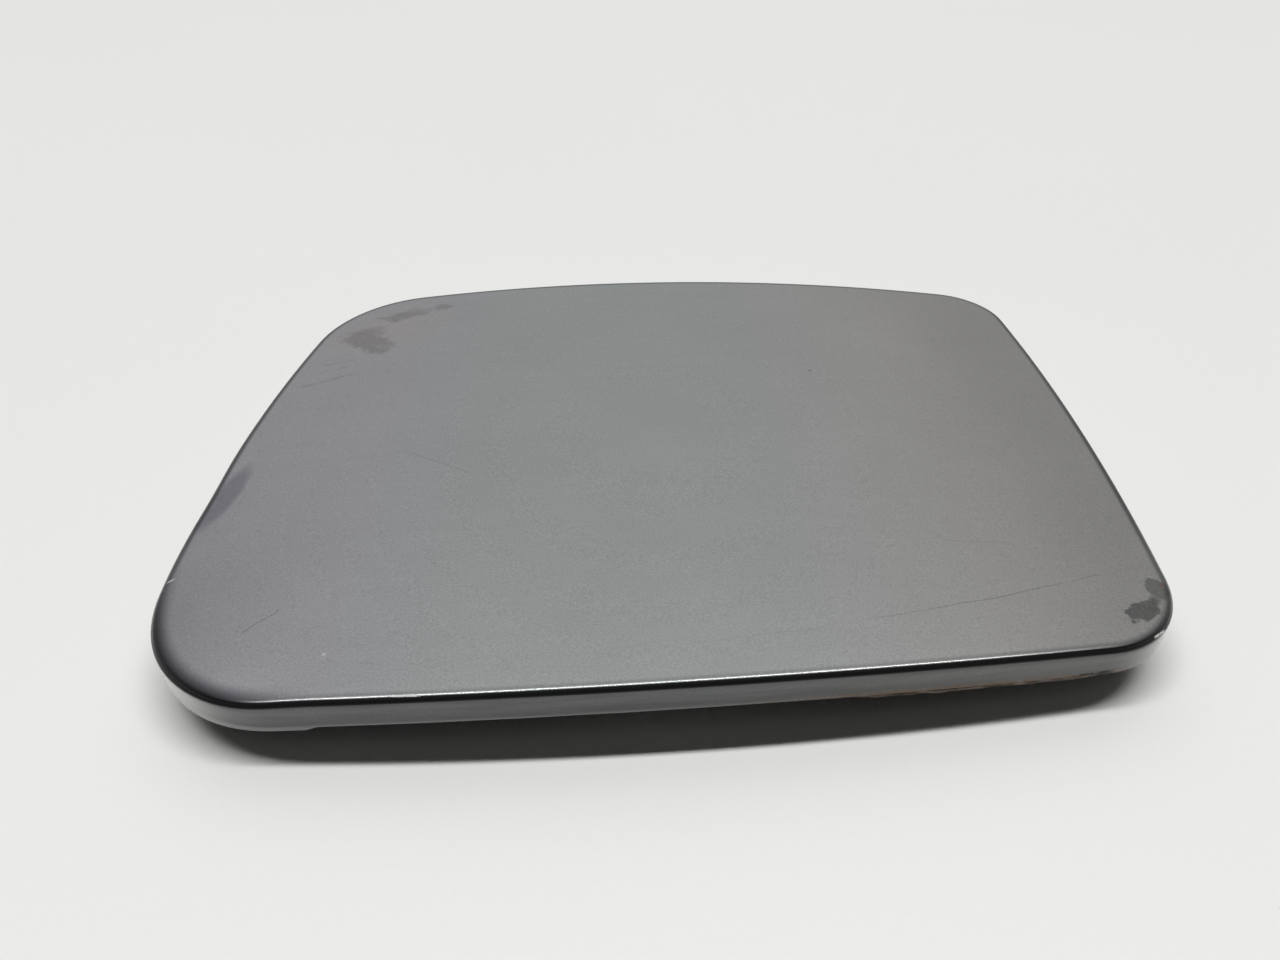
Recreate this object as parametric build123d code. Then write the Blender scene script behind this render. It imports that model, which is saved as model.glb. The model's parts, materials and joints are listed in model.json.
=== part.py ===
from build123d import *
import math
import os

# Outline of the flap seen from outside, before its corners are rounded
FRONT_WIDTH = 174.8
BACK_WIDTH = 165.2
DEPTH = 124.6
BACK_SHIFT = 6.2
FRONT_SLANT = 8.6
FRONT_BULGE = 4.75
RIGHT_BULGE = 2.85
BACK_BULGE = 6.8
LEFT_BULGE = 5.2
FRONT_LEFT_RADIUS = 26.6
FRONT_RIGHT_RADIUS = 19.0
BACK_RIGHT_RADIUS = 15.0
BACK_LEFT_RADIUS = 26.6

# Crown of the flap and the skin's turned-down flange
CROWN_RADIUS_X = 1230.0
CROWN_RADIUS_Y = 1810.0
SKIN_SHEET = 0.8
FLANGE_DEPTH = 5.7
SKIN_BEND = 0.5
CORNER_LIP = 0.7
CORNER_LIP_FRONT = 32.0
CORNER_LIP_SIDE = 26.0

# Inner panel: a tray in the skin, bonded at its lip and seated for the fittings
INNER_SHEET = 0.7
WEB_GAP = 2.4
BOND_GAP = 0.1
LIP_STEP = 0.7
INNER_BEND = 0.6
SEAT_PROUD = 1.5
SEAT_MARGIN = 4.0
SEAT_CORNER = 4.0
BEAD_LENGTH = 96.0
BEAD_WIDTH = 9.0
BEAD_DEPTH = 1.4
BEAD_CLEAR = 1.0
DRAIN_RADIUS = 3.0
DRAIN_INSET = 20.0
SEALER_WIDTH = 1.6
SEALER_PROUD = 0.6
SEALER_GAP = 0.1
MASTIC_RADIUS = 7.0
MASTIC_INSET_X = 44.0
MASTIC_INSET_Y = 30.0
MASTIC_GAP = 0.3

# Hinge: place of the pin, swan-neck arm, pin, bushes and base
PIN_BEHIND_EDGE = 10.5
PIN_DEPTH = 13.0
NECK_CLEAR = 2.0
FLAP_TILT = 2.6
PIN_RADIUS = 2.5
RUNNING_FIT = 0.05
ARM_SHEET = 2.0
ARM_WIDTH = 40.0
PAD_LENGTH = 26.0
NECK_REACH = 16.5
NECK_DROP = 9.5
NECK_BEND_UPPER = 4.0
NECK_BEND_LOWER = 6.0
EYE_WIDTH = 10.0
END_PLAY = 0.3
BUSH_WALL = 1.0
BUSH_FLANGE_RADIUS = 4.7
BUSH_FLANGE = 1.0
BASE_SHEET = 2.0
EAR_RADIUS = 4.8
EAR_BEND = 1.5
BASE_WIDTH = 66.0
BASE_FRONT = 6.0
BASE_BACK = 22.0
BASE_CORNER = 5.0
SCREW_SPACING = 44.0
SCREW_HOLE_RADIUS = 3.25
SCREW_BEHIND_PIN = 14.0
PIN_HEAD_RADIUS = 4.2
PIN_HEAD = 1.6
CLIP_SHEET = 0.8
CLIP_RADIUS = 4.6
GROOVE_RADIUS = 1.9
PIN_TAIL = 1.4

# Torsion spring round the pin
WIRE_RADIUS = 0.7
COIL_RADIUS = 3.9
COIL_PITCH = 1.7
COIL_TURNS = 7
BASE_LEG_ANGLE = -60.0
ARM_LEG_ANGLE = 221.0
SPRING_SEAT = 0.2
SPRING_ROOM = 0.8

# Latch striker, rubber buffers, cap holder and rivets
STRIKER_SHEET = 2.0
STRIKER_WIDTH = 24.0
STRIKER_LENGTH = 18.0
STRIKER_BEHIND_EDGE = 20.0
STRIKER_BEND = 1.2
TAB_WIDTH = 13.0
TAB_CORNER = 3.0
LOCK_EYE_RADIUS = 2.75
LOCK_EYE_RIM = 1.5
BUFFER_INSET_X = 25.0
BUFFER_INSET_Y = 28.0
BUFFER_RADIUS = 6.0
BUFFER_HEIGHT = 5.0
BUFFER_STEM_RADIUS = 2.6
BUFFER_BULB_RADIUS = 3.6
PUSH_FIT = 0.1
HOLDER_PLACE_X = 42.0
HOLDER_LENGTH = 26.0
HOLDER_WIDTH = 15.0
HOLDER_PLATE = 1.8
PRONG_WALL = 2.2
PRONG_GAP = 9.0
PRONG_HEIGHT = 8.0
PRONG_LIP = 1.2
PEG_RADIUS = 2.0
PEG_SPACING = 16.0
PEG_HEAD = 1.0
RIVET_RADIUS = 2.2
RIVET_HEAD_RADIUS = 3.8
RIVET_HEAD = 1.5
RIVET_FIT = 0.05
ARM_RIVET_SPACING_X = 24.0
ARM_RIVET_SPACING_Y = 13.0
STRIKER_RIVET_SPACING = 13.0

# Levels that follow from the sizes above; depths are measured down from the crown
WEB_DEPTH = SKIN_SHEET + WEB_GAP
WEB_UNDER = WEB_DEPTH + INNER_SHEET
LIP_DEPTH = FLANGE_DEPTH - LIP_STEP
REACH = FRONT_WIDTH + DEPTH
BLOCK_DEPTH = 4 * FLANGE_DEPTH + PIN_DEPTH
BACK_EDGE = DEPTH / 2 + BACK_BULGE
FRONT_EDGE = -DEPTH / 2 - FRONT_BULGE
PIN_Y = BACK_EDGE + PIN_BEHIND_EDGE
PIN_Z = -PIN_DEPTH
EYE_RADIUS = PIN_RADIUS + RUNNING_FIT + ARM_SHEET
EYE_OUTER = ARM_WIDTH / 2
EYE_INNER = EYE_OUTER - EYE_WIDTH
EYE_LINE = EYE_RADIUS - ARM_SHEET / 2
EAR_INNER = EYE_OUTER + END_PLAY + BUSH_FLANGE
EAR_OUTER = EAR_INNER + BASE_SHEET

# Swan neck, in the flap's frame seen from the side and measured from the pin: it drops to an elbow and
# climbs from there to pass under the eye
ELBOW = Vector(-NECK_REACH, -NECK_DROP)
CLIMB = math.atan2(NECK_DROP, NECK_REACH) - math.asin(EYE_LINE / ELBOW.length)
CLIMB_RUN = math.sqrt(ELBOW.length**2 - EYE_LINE**2)
UNDER_EYE = ELBOW + Vector(math.cos(CLIMB), math.sin(CLIMB)) * CLIMB_RUN
ELBOW_HALF = (math.pi / 2 - CLIMB) / 2
ELBOW_MIDDLE = (math.pi / 2 + CLIMB) / 2
BEND_CENTRE = ELBOW + Vector(math.cos(ELBOW_MIDDLE), math.sin(ELBOW_MIDDLE)) * (
    NECK_BEND_LOWER / math.sin(ELBOW_HALF)
)
NECK_BOTTOM = BEND_CENTRE.Y - NECK_BEND_LOWER - ARM_SHEET / 2

# Height of the pin over the base's mounting face, with room under the neck
PIN_HEIGHT = NECK_CLEAR - NECK_BOTTOM

# The flap's own frame has its origin on top of the crown; this sets it over the base's mounting face,
# with the origin between the two screw holes and the flap leaning back on its hinge
BASE_PIN = Location((0, -SCREW_BEHIND_PIN, PIN_HEIGHT))
FLAP = BASE_PIN * Rotation(X=FLAP_TILT) * Location((0, -PIN_Y, -PIN_Z))


def crown(x, y):
    """Height of the crowned surface over a point of the flap."""
    return -x * x / (2 * CROWN_RADIUS_X) - y * y / (2 * CROWN_RADIUS_Y)


def crown_block(depth):
    """Block whose top is the crowned surface lowered by a depth."""
    places = ((-REACH, REACH**2), (0, -REACH**2), (REACH, REACH**2))
    net = [
        [
            Vector(x, y, -xx / (2 * CROWN_RADIUS_X) - yy / (2 * CROWN_RADIUS_Y) - depth)
            for y, yy in places
        ]
        for x, xx in places
    ]
    return extrude(Face.make_bezier_surface(net), amount=BLOCK_DEPTH, dir=(0, 0, -1))


def prism(sketch):
    """Upright prism through the whole height of the flap."""
    return extrude(Pos(0, 0, -BLOCK_DEPTH / 2) * sketch, amount=BLOCK_DEPTH)


def slab(sketch, top, bottom):
    """Layer of the crowned flap between two depths, inside a sketch."""
    return (prism(sketch) & crown_block(top)) - crown_block(bottom)


def rounded_block(sketch, top, radius):
    """Everything under a crowned surface inside a sketch, with its top edge rounded."""
    block = prism(sketch) & crown_block(top)
    crowned = block.faces().sort_by(Axis.Z)[-1]
    return fillet(crowned.edges(), radius)


def tray(inwards, depth, sheet, bend, bottom):
    """Crowned sheet with its edge turned down, its outside moved in from the flap's outline."""
    outside = rounded_block(inset(inwards), depth, bend + sheet)
    inside = rounded_block(inset(inwards + sheet), depth + sheet, bend)
    return outside - inside - crown_block(bottom)


def side_circle(start, end, bulge):
    """Centre and radius of the arc that bulges to the right of a line."""
    chord = end - start
    radius = (chord.length**2 / 4 + bulge**2) / (2 * bulge)
    inward = Vector(-chord.Y, chord.X).normalized()
    return (start + end) * 0.5 + inward * (radius - bulge), radius


def crossing(first, second, near):
    """Point where two circles cross, the one nearer to a given point."""
    (first_centre, first_radius), (second_centre, second_radius) = first, second
    between = second_centre - first_centre
    along = (first_radius**2 - second_radius**2 + between.length**2) / (2 * between.length)
    aside = math.sqrt(first_radius**2 - along**2)
    unit = between.normalized()
    foot = first_centre + unit * along
    crosswise = Vector(-unit.Y, unit.X) * aside
    return min((foot + crosswise, foot - crosswise), key=lambda point: (point - near).length)


def inset(inwards):
    """Flap outline, with four bulging sides and four different corner rounds, moved inwards."""
    corners = (
        Vector(-FRONT_WIDTH / 2, -DEPTH / 2 - FRONT_SLANT / 2),
        Vector(FRONT_WIDTH / 2, -DEPTH / 2 + FRONT_SLANT / 2),
        Vector(BACK_WIDTH / 2 + BACK_SHIFT, DEPTH / 2),
        Vector(-BACK_WIDTH / 2 + BACK_SHIFT, DEPTH / 2),
    )
    bulges = (FRONT_BULGE, RIGHT_BULGE, BACK_BULGE, LEFT_BULGE)
    rounds = (FRONT_LEFT_RADIUS, FRONT_RIGHT_RADIUS, BACK_RIGHT_RADIUS, BACK_LEFT_RADIUS)
    circles = []
    for index, bulge in enumerate(bulges):
        centre, radius = side_circle(corners[index], corners[(index + 1) % 4], bulge)
        circles.append((centre, radius - inwards))
    moved = [crossing(circles[index - 1], circles[index], corners[index]) for index in range(4)]
    arcs = []
    for index, (centre, radius) in enumerate(circles):
        start, end = moved[index], moved[(index + 1) % 4]
        middle = centre + ((start + end) * 0.5 - centre).normalized() * radius
        arcs.append(ThreePointArc(start, middle, end))
    outline = make_face(arcs)
    for corner, radius in zip(moved, rounds):
        outline = fillet(outline.vertices().sort_by_distance(corner)[0], radius - inwards)
    return outline


def seat_level(x, y):
    """Level of a flat seat's underside, pressed down from the inner panel at a point."""
    return crown(x, y) - WEB_UNDER - SEAT_PROUD


def seat_press(sketch, level):
    """Pressed flat seat: the solid to add to the inner panel and the hollow to cut above it."""
    added = extrude(Pos(0, 0, level) * sketch, amount=BLOCK_DEPTH) & crown_block(WEB_DEPTH)
    hollow = offset(sketch, amount=-INNER_SHEET)
    cut = extrude(Pos(0, 0, level + INNER_SHEET) * hollow, amount=BLOCK_DEPTH)
    return added, cut


# Places of the fittings in the flap's frame
PAD_BACK = PIN_Y - NECK_REACH - ARM_SHEET / 2 - NECK_BEND_UPPER
PAD_CENTRE = PAD_BACK - PAD_LENGTH / 2
PAD_LEVEL = seat_level(0, PAD_CENTRE)
STRIKER_FRONT = FRONT_EDGE + STRIKER_BEHIND_EDGE
STRIKER_CENTRE = STRIKER_FRONT + STRIKER_LENGTH / 2
STRIKER_LEVEL = seat_level(0, STRIKER_CENTRE)
BUFFER_X = FRONT_WIDTH / 2 - BUFFER_INSET_X
BUFFER_Y = -DEPTH / 2 + BUFFER_INSET_Y
BUFFER_LEVEL = seat_level(BUFFER_X, BUFFER_Y)
HOLDER_LEVEL = seat_level(HOLDER_PLACE_X, 0)
ARM_RIVETS = [
    Pos(x, PAD_CENTRE + y)
    for x in (-ARM_RIVET_SPACING_X / 2, ARM_RIVET_SPACING_X / 2)
    for y in (-ARM_RIVET_SPACING_Y / 2, ARM_RIVET_SPACING_Y / 2)
]
STRIKER_RIVETS = [
    Pos(x, STRIKER_CENTRE + STRIKER_SHEET)
    for x in (-STRIKER_RIVET_SPACING / 2, STRIKER_RIVET_SPACING / 2)
]
BUFFERS = [Pos(-BUFFER_X, BUFFER_Y), Pos(BUFFER_X, BUFFER_Y)]
PEGS = [Pos(HOLDER_PLACE_X - PEG_SPACING / 2, 0), Pos(HOLDER_PLACE_X + PEG_SPACING / 2, 0)]


def drill(places, radius):
    """Round holes through the whole height of the flap."""
    return [prism(place * Circle(radius)) for place in places]


def outer_skin():
    """Crowned sheet with its flange, deeper round the front left corner."""
    skin = tray(0, 0, SKIN_SHEET, SKIN_BEND, FLANGE_DEPTH)
    lip_x = -FRONT_WIDTH / 2 + CORNER_LIP_FRONT
    lip_y = -DEPTH / 2 + CORNER_LIP_SIDE
    corner = Pos(lip_x, lip_y) * Rectangle(REACH, REACH, align=(Align.MAX, Align.MAX))
    ring = (inset(0) - inset(SKIN_SHEET)) & corner
    return skin + slab(ring, FLANGE_DEPTH - CORNER_LIP, FLANGE_DEPTH + CORNER_LIP)


def inner_panel():
    """Tray with a downturned lip, stiffening beads and flat seats."""
    panel = tray(SKIN_SHEET + BOND_GAP, WEB_DEPTH, INNER_SHEET, INNER_BEND, LIP_DEPTH)
    pad = Pos(0, PAD_CENTRE) * RectangleRounded(
        ARM_WIDTH + 2 * SEAT_MARGIN, PAD_LENGTH + SEAT_MARGIN, SEAT_CORNER
    )
    striker = Pos(0, STRIKER_CENTRE) * RectangleRounded(
        STRIKER_WIDTH + 2 * SEAT_MARGIN, STRIKER_LENGTH + 2 * SEAT_MARGIN, SEAT_CORNER
    )
    holder = Pos(HOLDER_PLACE_X, 0) * RectangleRounded(
        HOLDER_LENGTH + SEAT_MARGIN, HOLDER_WIDTH + SEAT_MARGIN, SEAT_CORNER
    )
    seats = [(pad, PAD_LEVEL), (striker, STRIKER_LEVEL), (holder, HOLDER_LEVEL)]
    seats += [(place * Circle(BUFFER_RADIUS + SEAT_MARGIN), BUFFER_LEVEL) for place in BUFFERS]
    for sketch, level in seats:
        added, cut = seat_press(sketch, level)
        panel = panel + added - cut
    bead_y = (HOLDER_WIDTH + SEAT_MARGIN + BEAD_WIDTH) / 2 + BEAD_CLEAR
    for y in (-bead_y, bead_y):
        bead = Pos(0, y) * SlotOverall(BEAD_LENGTH, BEAD_WIDTH)
        panel += slab(bead, WEB_DEPTH, WEB_UNDER + BEAD_DEPTH)
        panel -= slab(offset(bead, amount=-INNER_SHEET), 0, WEB_DEPTH + BEAD_DEPTH)
    drain_x = BACK_WIDTH / 2 - DRAIN_INSET
    drain_y = DEPTH / 2 - DRAIN_INSET
    drains = [Pos(BACK_SHIFT - drain_x, drain_y), Pos(BACK_SHIFT + drain_x, drain_y)]
    panel -= drill(drains, DRAIN_RADIUS)
    panel -= drill(ARM_RIVETS + STRIKER_RIVETS, RIVET_RADIUS + RIVET_FIT)
    panel -= drill(BUFFERS, BUFFER_STEM_RADIUS + PUSH_FIT)
    panel -= drill(PEGS, PEG_RADIUS + PUSH_FIT)
    return panel


def seam_sealer():
    """Bead that closes the joint between the flange and the inner panel's lip."""
    ring = inset(SKIN_SHEET + SEALER_GAP) - inset(SKIN_SHEET + SEALER_GAP + SEALER_WIDTH)
    return slab(ring, LIP_DEPTH + SEALER_GAP, FLANGE_DEPTH + SEALER_PROUD)


def mastic_pads():
    """Four soft pads between the skin and the inner panel."""
    x = BACK_WIDTH / 2 - MASTIC_INSET_X
    y = DEPTH / 2 - MASTIC_INSET_Y
    places = [Pos(sx * x, sy * y) for sx in (-1, 1) for sy in (-1, 1)]
    top = SKIN_SHEET + MASTIC_GAP
    return [slab(place * Circle(MASTIC_RADIUS), top, WEB_DEPTH - MASTIC_GAP) for place in places]


def hinge_arm():
    """Swan-neck strip: flat pad, neck that clears the body's edge, and two rolled eyes."""
    pin = Vector(PIN_Y, PIN_Z)
    pad_line = PAD_LEVEL - ARM_SHEET / 2
    path = FilletPolyline(
        (PAD_BACK - PAD_LENGTH, pad_line),
        (PIN_Y - NECK_REACH, pad_line),
        pin + ELBOW,
        pin + UNDER_EYE,
        radius=[NECK_BEND_UPPER, NECK_BEND_LOWER],
    )
    profile = trace(path, ARM_SHEET) + Pos(PIN_Y, PIN_Z) * Circle(EYE_RADIUS)
    profile -= Pos(PIN_Y, PIN_Z) * Circle(PIN_RADIUS + RUNNING_FIT)
    arm = extrude(Plane.YZ * profile, amount=ARM_WIDTH / 2, both=True)
    spring_gap = COIL_RADIUS + WIRE_RADIUS + SPRING_ROOM
    arm -= Pos(0, PIN_Y, PIN_Z) * Rotation(Y=90) * Cylinder(spring_gap, 2 * EYE_INNER)
    arm -= drill(ARM_RIVETS, RIVET_RADIUS + RIVET_FIT)
    return arm


def rivet(level, grip):
    """Rivet with a domed head under a stack of sheets and a flat clinched head on top of it."""
    bottom = (Align.CENTER, Align.CENTER, Align.MIN)
    dome = Cylinder(RIVET_HEAD_RADIUS, RIVET_HEAD, align=(Align.CENTER, Align.CENTER, Align.MAX))
    dome = fillet(dome.edges().sort_by(Axis.Z)[0], RIVET_HEAD - RIVET_HEAD / 4)
    shank = Cylinder(RIVET_RADIUS, grip, align=bottom)
    clinch = Pos(0, 0, grip) * Cylinder(RIVET_HEAD_RADIUS, RIVET_HEAD / 2, align=bottom)
    return Pos(0, 0, level) * (dome + shank + clinch)


def latch_striker():
    """Bent tab riveted to the inner panel, with an eye for the lock pin and a foot on the table line."""
    lean = math.radians(FLAP_TILT)
    ahead = PIN_Y - STRIKER_FRONT - STRIKER_SHEET
    foot = PIN_Z - PIN_HEIGHT / math.cos(lean) + ahead * math.tan(lean)
    plate = Pos(0, STRIKER_FRONT, STRIKER_LEVEL) * Box(
        STRIKER_WIDTH, STRIKER_LENGTH, STRIKER_SHEET, align=(Align.CENTER, Align.MIN, Align.MAX)
    )
    drop = STRIKER_LEVEL - foot
    tab = Pos(0, STRIKER_FRONT, foot) * Box(
        TAB_WIDTH, STRIKER_SHEET, drop, align=(Align.CENTER, Align.MIN, Align.MIN)
    )
    tips = tab.edges().filter_by(Axis.Y).sort_by(Axis.Z)[:2]
    striker = plate + fillet(tips, TAB_CORNER)
    inside = [
        edge
        for edge in striker.edges().filter_by(Axis.X)
        if abs(edge.center().Y - STRIKER_FRONT - STRIKER_SHEET) < STRIKER_SHEET / 4
        and abs(edge.center().Z - STRIKER_LEVEL + STRIKER_SHEET) < STRIKER_SHEET / 4
    ]
    striker = fillet(inside, STRIKER_BEND)
    eye = Pos(0, STRIKER_FRONT, foot + LOCK_EYE_RIM + LOCK_EYE_RADIUS) * Rotation(X=90)
    striker -= eye * Cylinder(LOCK_EYE_RADIUS, 4 * STRIKER_SHEET)
    striker -= drill(STRIKER_RIVETS, RIVET_RADIUS + RIVET_FIT)
    return striker


def buffer(place):
    """Rubber stop: domed head under its seat, stem through it and a retaining bulb above."""
    top = (Align.CENTER, Align.CENTER, Align.MAX)
    bottom = (Align.CENTER, Align.CENTER, Align.MIN)
    head = Cylinder(BUFFER_RADIUS, BUFFER_HEIGHT, align=top)
    head = fillet(head.edges().sort_by(Axis.Z)[0], BUFFER_RADIUS / 3)
    grip = INNER_SHEET + 2 * PUSH_FIT
    stem = Cylinder(BUFFER_STEM_RADIUS, grip, align=bottom)
    bulb = Pos(0, 0, grip) * Cone(
        BUFFER_BULB_RADIUS, BUFFER_STEM_RADIUS, BUFFER_STEM_RADIUS, align=bottom
    )
    return place * Pos(0, 0, BUFFER_LEVEL - PUSH_FIT) * (head + stem + bulb)


def cap_holder():
    """Plastic plate with two lipped prongs for the filler cap's grip, held by two snap pegs."""
    top = (Align.CENTER, Align.CENTER, Align.MAX)
    bottom = (Align.CENTER, Align.CENTER, Align.MIN)
    holder = Box(HOLDER_LENGTH, HOLDER_WIDTH, HOLDER_PLATE, align=top)
    for side in (-1, 1):
        prong = Box(PRONG_WALL, HOLDER_WIDTH, HOLDER_PLATE + PRONG_HEIGHT, align=top)
        lip = Pos(-side * PRONG_LIP / 2, 0, -HOLDER_PLATE - PRONG_HEIGHT) * Box(
            PRONG_WALL + PRONG_LIP, HOLDER_WIDTH, PRONG_LIP, align=bottom
        )
        holder += Pos(side * (PRONG_GAP + PRONG_WALL) / 2, 0) * (prong + lip)
    holder = fillet(holder.edges().filter_by(Axis.Z), PRONG_LIP / 3)
    grip = INNER_SHEET + 2 * PUSH_FIT
    peg = Cylinder(PEG_RADIUS, grip, align=bottom) + Pos(0, 0, grip) * Cone(
        PEG_RADIUS + PUSH_FIT + PEG_HEAD / 2, PEG_RADIUS, PEG_HEAD, align=bottom
    )
    for side in (-1, 1):
        holder += Pos(side * PEG_SPACING / 2, 0) * peg
    return Pos(HOLDER_PLACE_X, 0, HOLDER_LEVEL - PUSH_FIT) * holder


def across(radius, start, end):
    """Cylinder along the hinge line between two places, round the pin of the base."""
    length = end - start
    return Pos((start + end) / 2, 0, 0) * Rotation(Y=90) * Cylinder(radius, length)


def hinge_base():
    """Stamped bracket: mounting plate with two screw holes and two ears for the pin."""
    bush_radius = PIN_RADIUS + RUNNING_FIT + BUSH_WALL
    neck = Rectangle(2 * EAR_OUTER, BASE_FRONT + BASE_BACK, align=(Align.CENTER, Align.MIN))
    tongue_depth = 2 * (BASE_BACK - SCREW_BEHIND_PIN)
    tongue = RectangleRounded(BASE_WIDTH, tongue_depth, BASE_CORNER)
    plan = Pos(0, -BASE_FRONT) * neck + Pos(0, SCREW_BEHIND_PIN) * tongue
    plan -= [
        Pos(x, SCREW_BEHIND_PIN) * Circle(SCREW_HOLE_RADIUS)
        for x in (-SCREW_SPACING / 2, SCREW_SPACING / 2)
    ]
    base = extrude(Pos(0, 0, -PIN_HEIGHT) * plan, amount=BASE_SHEET)
    ear = Circle(EAR_RADIUS) + Rectangle(
        2 * EAR_RADIUS, PIN_HEIGHT - BASE_SHEET, align=(Align.CENTER, Align.MAX)
    )
    ear -= Circle(bush_radius + RIVET_FIT)
    for side in (-1, 1):
        start = side * EAR_INNER
        base += Pos(start, 0, 0) * extrude(Plane.YZ * ear, amount=side * BASE_SHEET)
    bends = [
        edge
        for edge in base.edges().filter_by(Axis.Y)
        if abs(abs(edge.center().X) - EAR_INNER) < BASE_SHEET / 4
        and abs(edge.center().Z + PIN_HEIGHT - BASE_SHEET) < BASE_SHEET / 4
    ]
    return fillet(bends, EAR_BEND)


def hinge_pin():
    """Headed pin with a groove for its clip."""
    head = EAR_OUTER + END_PLAY
    groove = head + CLIP_SHEET + 2 * RUNNING_FIT
    pin = across(PIN_RADIUS, -groove - PIN_TAIL, head)
    pin += across(PIN_HEAD_RADIUS, head, head + PIN_HEAD)
    return pin - (across(PIN_RADIUS, -groove, -head) - across(GROOVE_RADIUS, -groove, -head))


def pin_clip():
    """Spring clip, open at the back, in the groove of the pin."""
    start = -EAR_OUTER - END_PLAY - RUNNING_FIT
    clip = across(CLIP_RADIUS, start - CLIP_SHEET, start)
    clip -= across(GROOVE_RADIUS + RUNNING_FIT, start - CLIP_SHEET, start)
    mouth = Pos(start - CLIP_SHEET / 2, 0, 0) * Box(
        CLIP_SHEET, 2 * CLIP_RADIUS, 2 * GROOVE_RADIUS, align=(Align.CENTER, Align.MIN, Align.CENTER)
    )
    return clip - mouth


def bush(side):
    """Flanged bush in an ear, with its flange against the arm's eye."""
    bore = PIN_RADIUS + RUNNING_FIT
    flange = across(BUSH_FLANGE_RADIUS, EAR_INNER - BUSH_FLANGE, EAR_INNER)
    sleeve = across(bore + BUSH_WALL, EAR_INNER, EAR_OUTER)
    made = flange + sleeve - across(bore, EAR_INNER - BUSH_FLANGE, EAR_OUTER)
    return made if side > 0 else mirror(made, about=Plane.YZ)


def hinge_spring():
    """Torsion coil round the pin, one leg down on the base and the other down on the arm's neck."""
    start_angle = BASE_LEG_ANGLE + 90
    end_angle = ARM_LEG_ANGLE - 90
    turns = COIL_TURNS + (end_angle - start_angle) / 360
    coil = Helix(COIL_PITCH, COIL_PITCH * turns, COIL_RADIUS)

    fall = math.radians(-BASE_LEG_ANGLE)
    leg_end = BASE_SHEET - PIN_HEIGHT + SPRING_SEAT + WIRE_RADIUS * math.cos(fall)
    base_run = (COIL_RADIUS * math.cos(fall) - leg_end) / math.sin(fall)

    bend = BEND_CENTRE.rotate(Axis.Z, FLAP_TILT)
    leave = Vector(COIL_RADIUS, 0).rotate(Axis.Z, end_angle) - bend
    heading = Vector(1, 0).rotate(Axis.Z, ARM_LEG_ANGLE)
    bend_room = NECK_BEND_LOWER - ARM_SHEET / 2 - WIRE_RADIUS - SPRING_SEAT
    nearing = leave.dot(heading)
    arm_run = math.sqrt(nearing**2 - leave.length**2 + bend_room**2) - nearing

    base_leg = Line(coil @ 0 - (coil % 0) * base_run, coil @ 0)
    arm_leg = Line(coil @ 1, coil @ 1 + (coil % 1) * arm_run)
    path = Wire([base_leg, coil, arm_leg])
    section = Plane(origin=path @ 0, z_dir=path % 0) * Circle(WIRE_RADIUS)
    wire = sweep(section, path=path, is_frenet=True)
    turned = Rotation(Z=start_angle) * Pos(0, 0, -COIL_PITCH * turns / 2) * wire
    return Plane(origin=(0, 0, 0), x_dir=(0, 1, 0), z_dir=(1, 0, 0)).location * turned


def write(name, shapes, place):
    """Write one named piece, or one group of like pieces, set in its place."""
    solids = [place * shape for shape in (shapes if isinstance(shapes, list) else [shapes])]
    solids = [solid for shape in solids for solid in shape.solids()]
    piece = solids[0] if len(solids) == 1 else Compound(children=solids)
    piece.label = name
    export_step(piece, f"parts/{name}.step")


os.makedirs("parts", exist_ok=True)

write("outer_skin", outer_skin(), FLAP)
write("inner_panel", inner_panel(), FLAP)
write("seam_sealer", seam_sealer(), FLAP)
write("mastic_pads", mastic_pads(), FLAP)
write("hinge_arm", hinge_arm(), FLAP)
arm_rivet = rivet(PAD_LEVEL - ARM_SHEET, ARM_SHEET + INNER_SHEET)
write("arm_rivets", [place * arm_rivet for place in ARM_RIVETS], FLAP)
write("latch_striker", latch_striker(), FLAP)
striker_rivet = rivet(STRIKER_LEVEL - STRIKER_SHEET, STRIKER_SHEET + INNER_SHEET)
write("striker_rivets", [place * striker_rivet for place in STRIKER_RIVETS], FLAP)
write("buffer_left", buffer(BUFFERS[0]), FLAP)
write("buffer_right", buffer(BUFFERS[1]), FLAP)
write("cap_holder", cap_holder(), FLAP)
write("hinge_base", hinge_base(), BASE_PIN)
write("hinge_pin", hinge_pin(), BASE_PIN)
write("pin_clip", pin_clip(), BASE_PIN)
write("bush_left", bush(-1), BASE_PIN)
write("bush_right", bush(1), BASE_PIN)
write("hinge_spring", hinge_spring(), BASE_PIN)
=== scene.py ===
import json
import math
import bpy
from mathutils import Matrix, Vector, kdtree, noise

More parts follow.
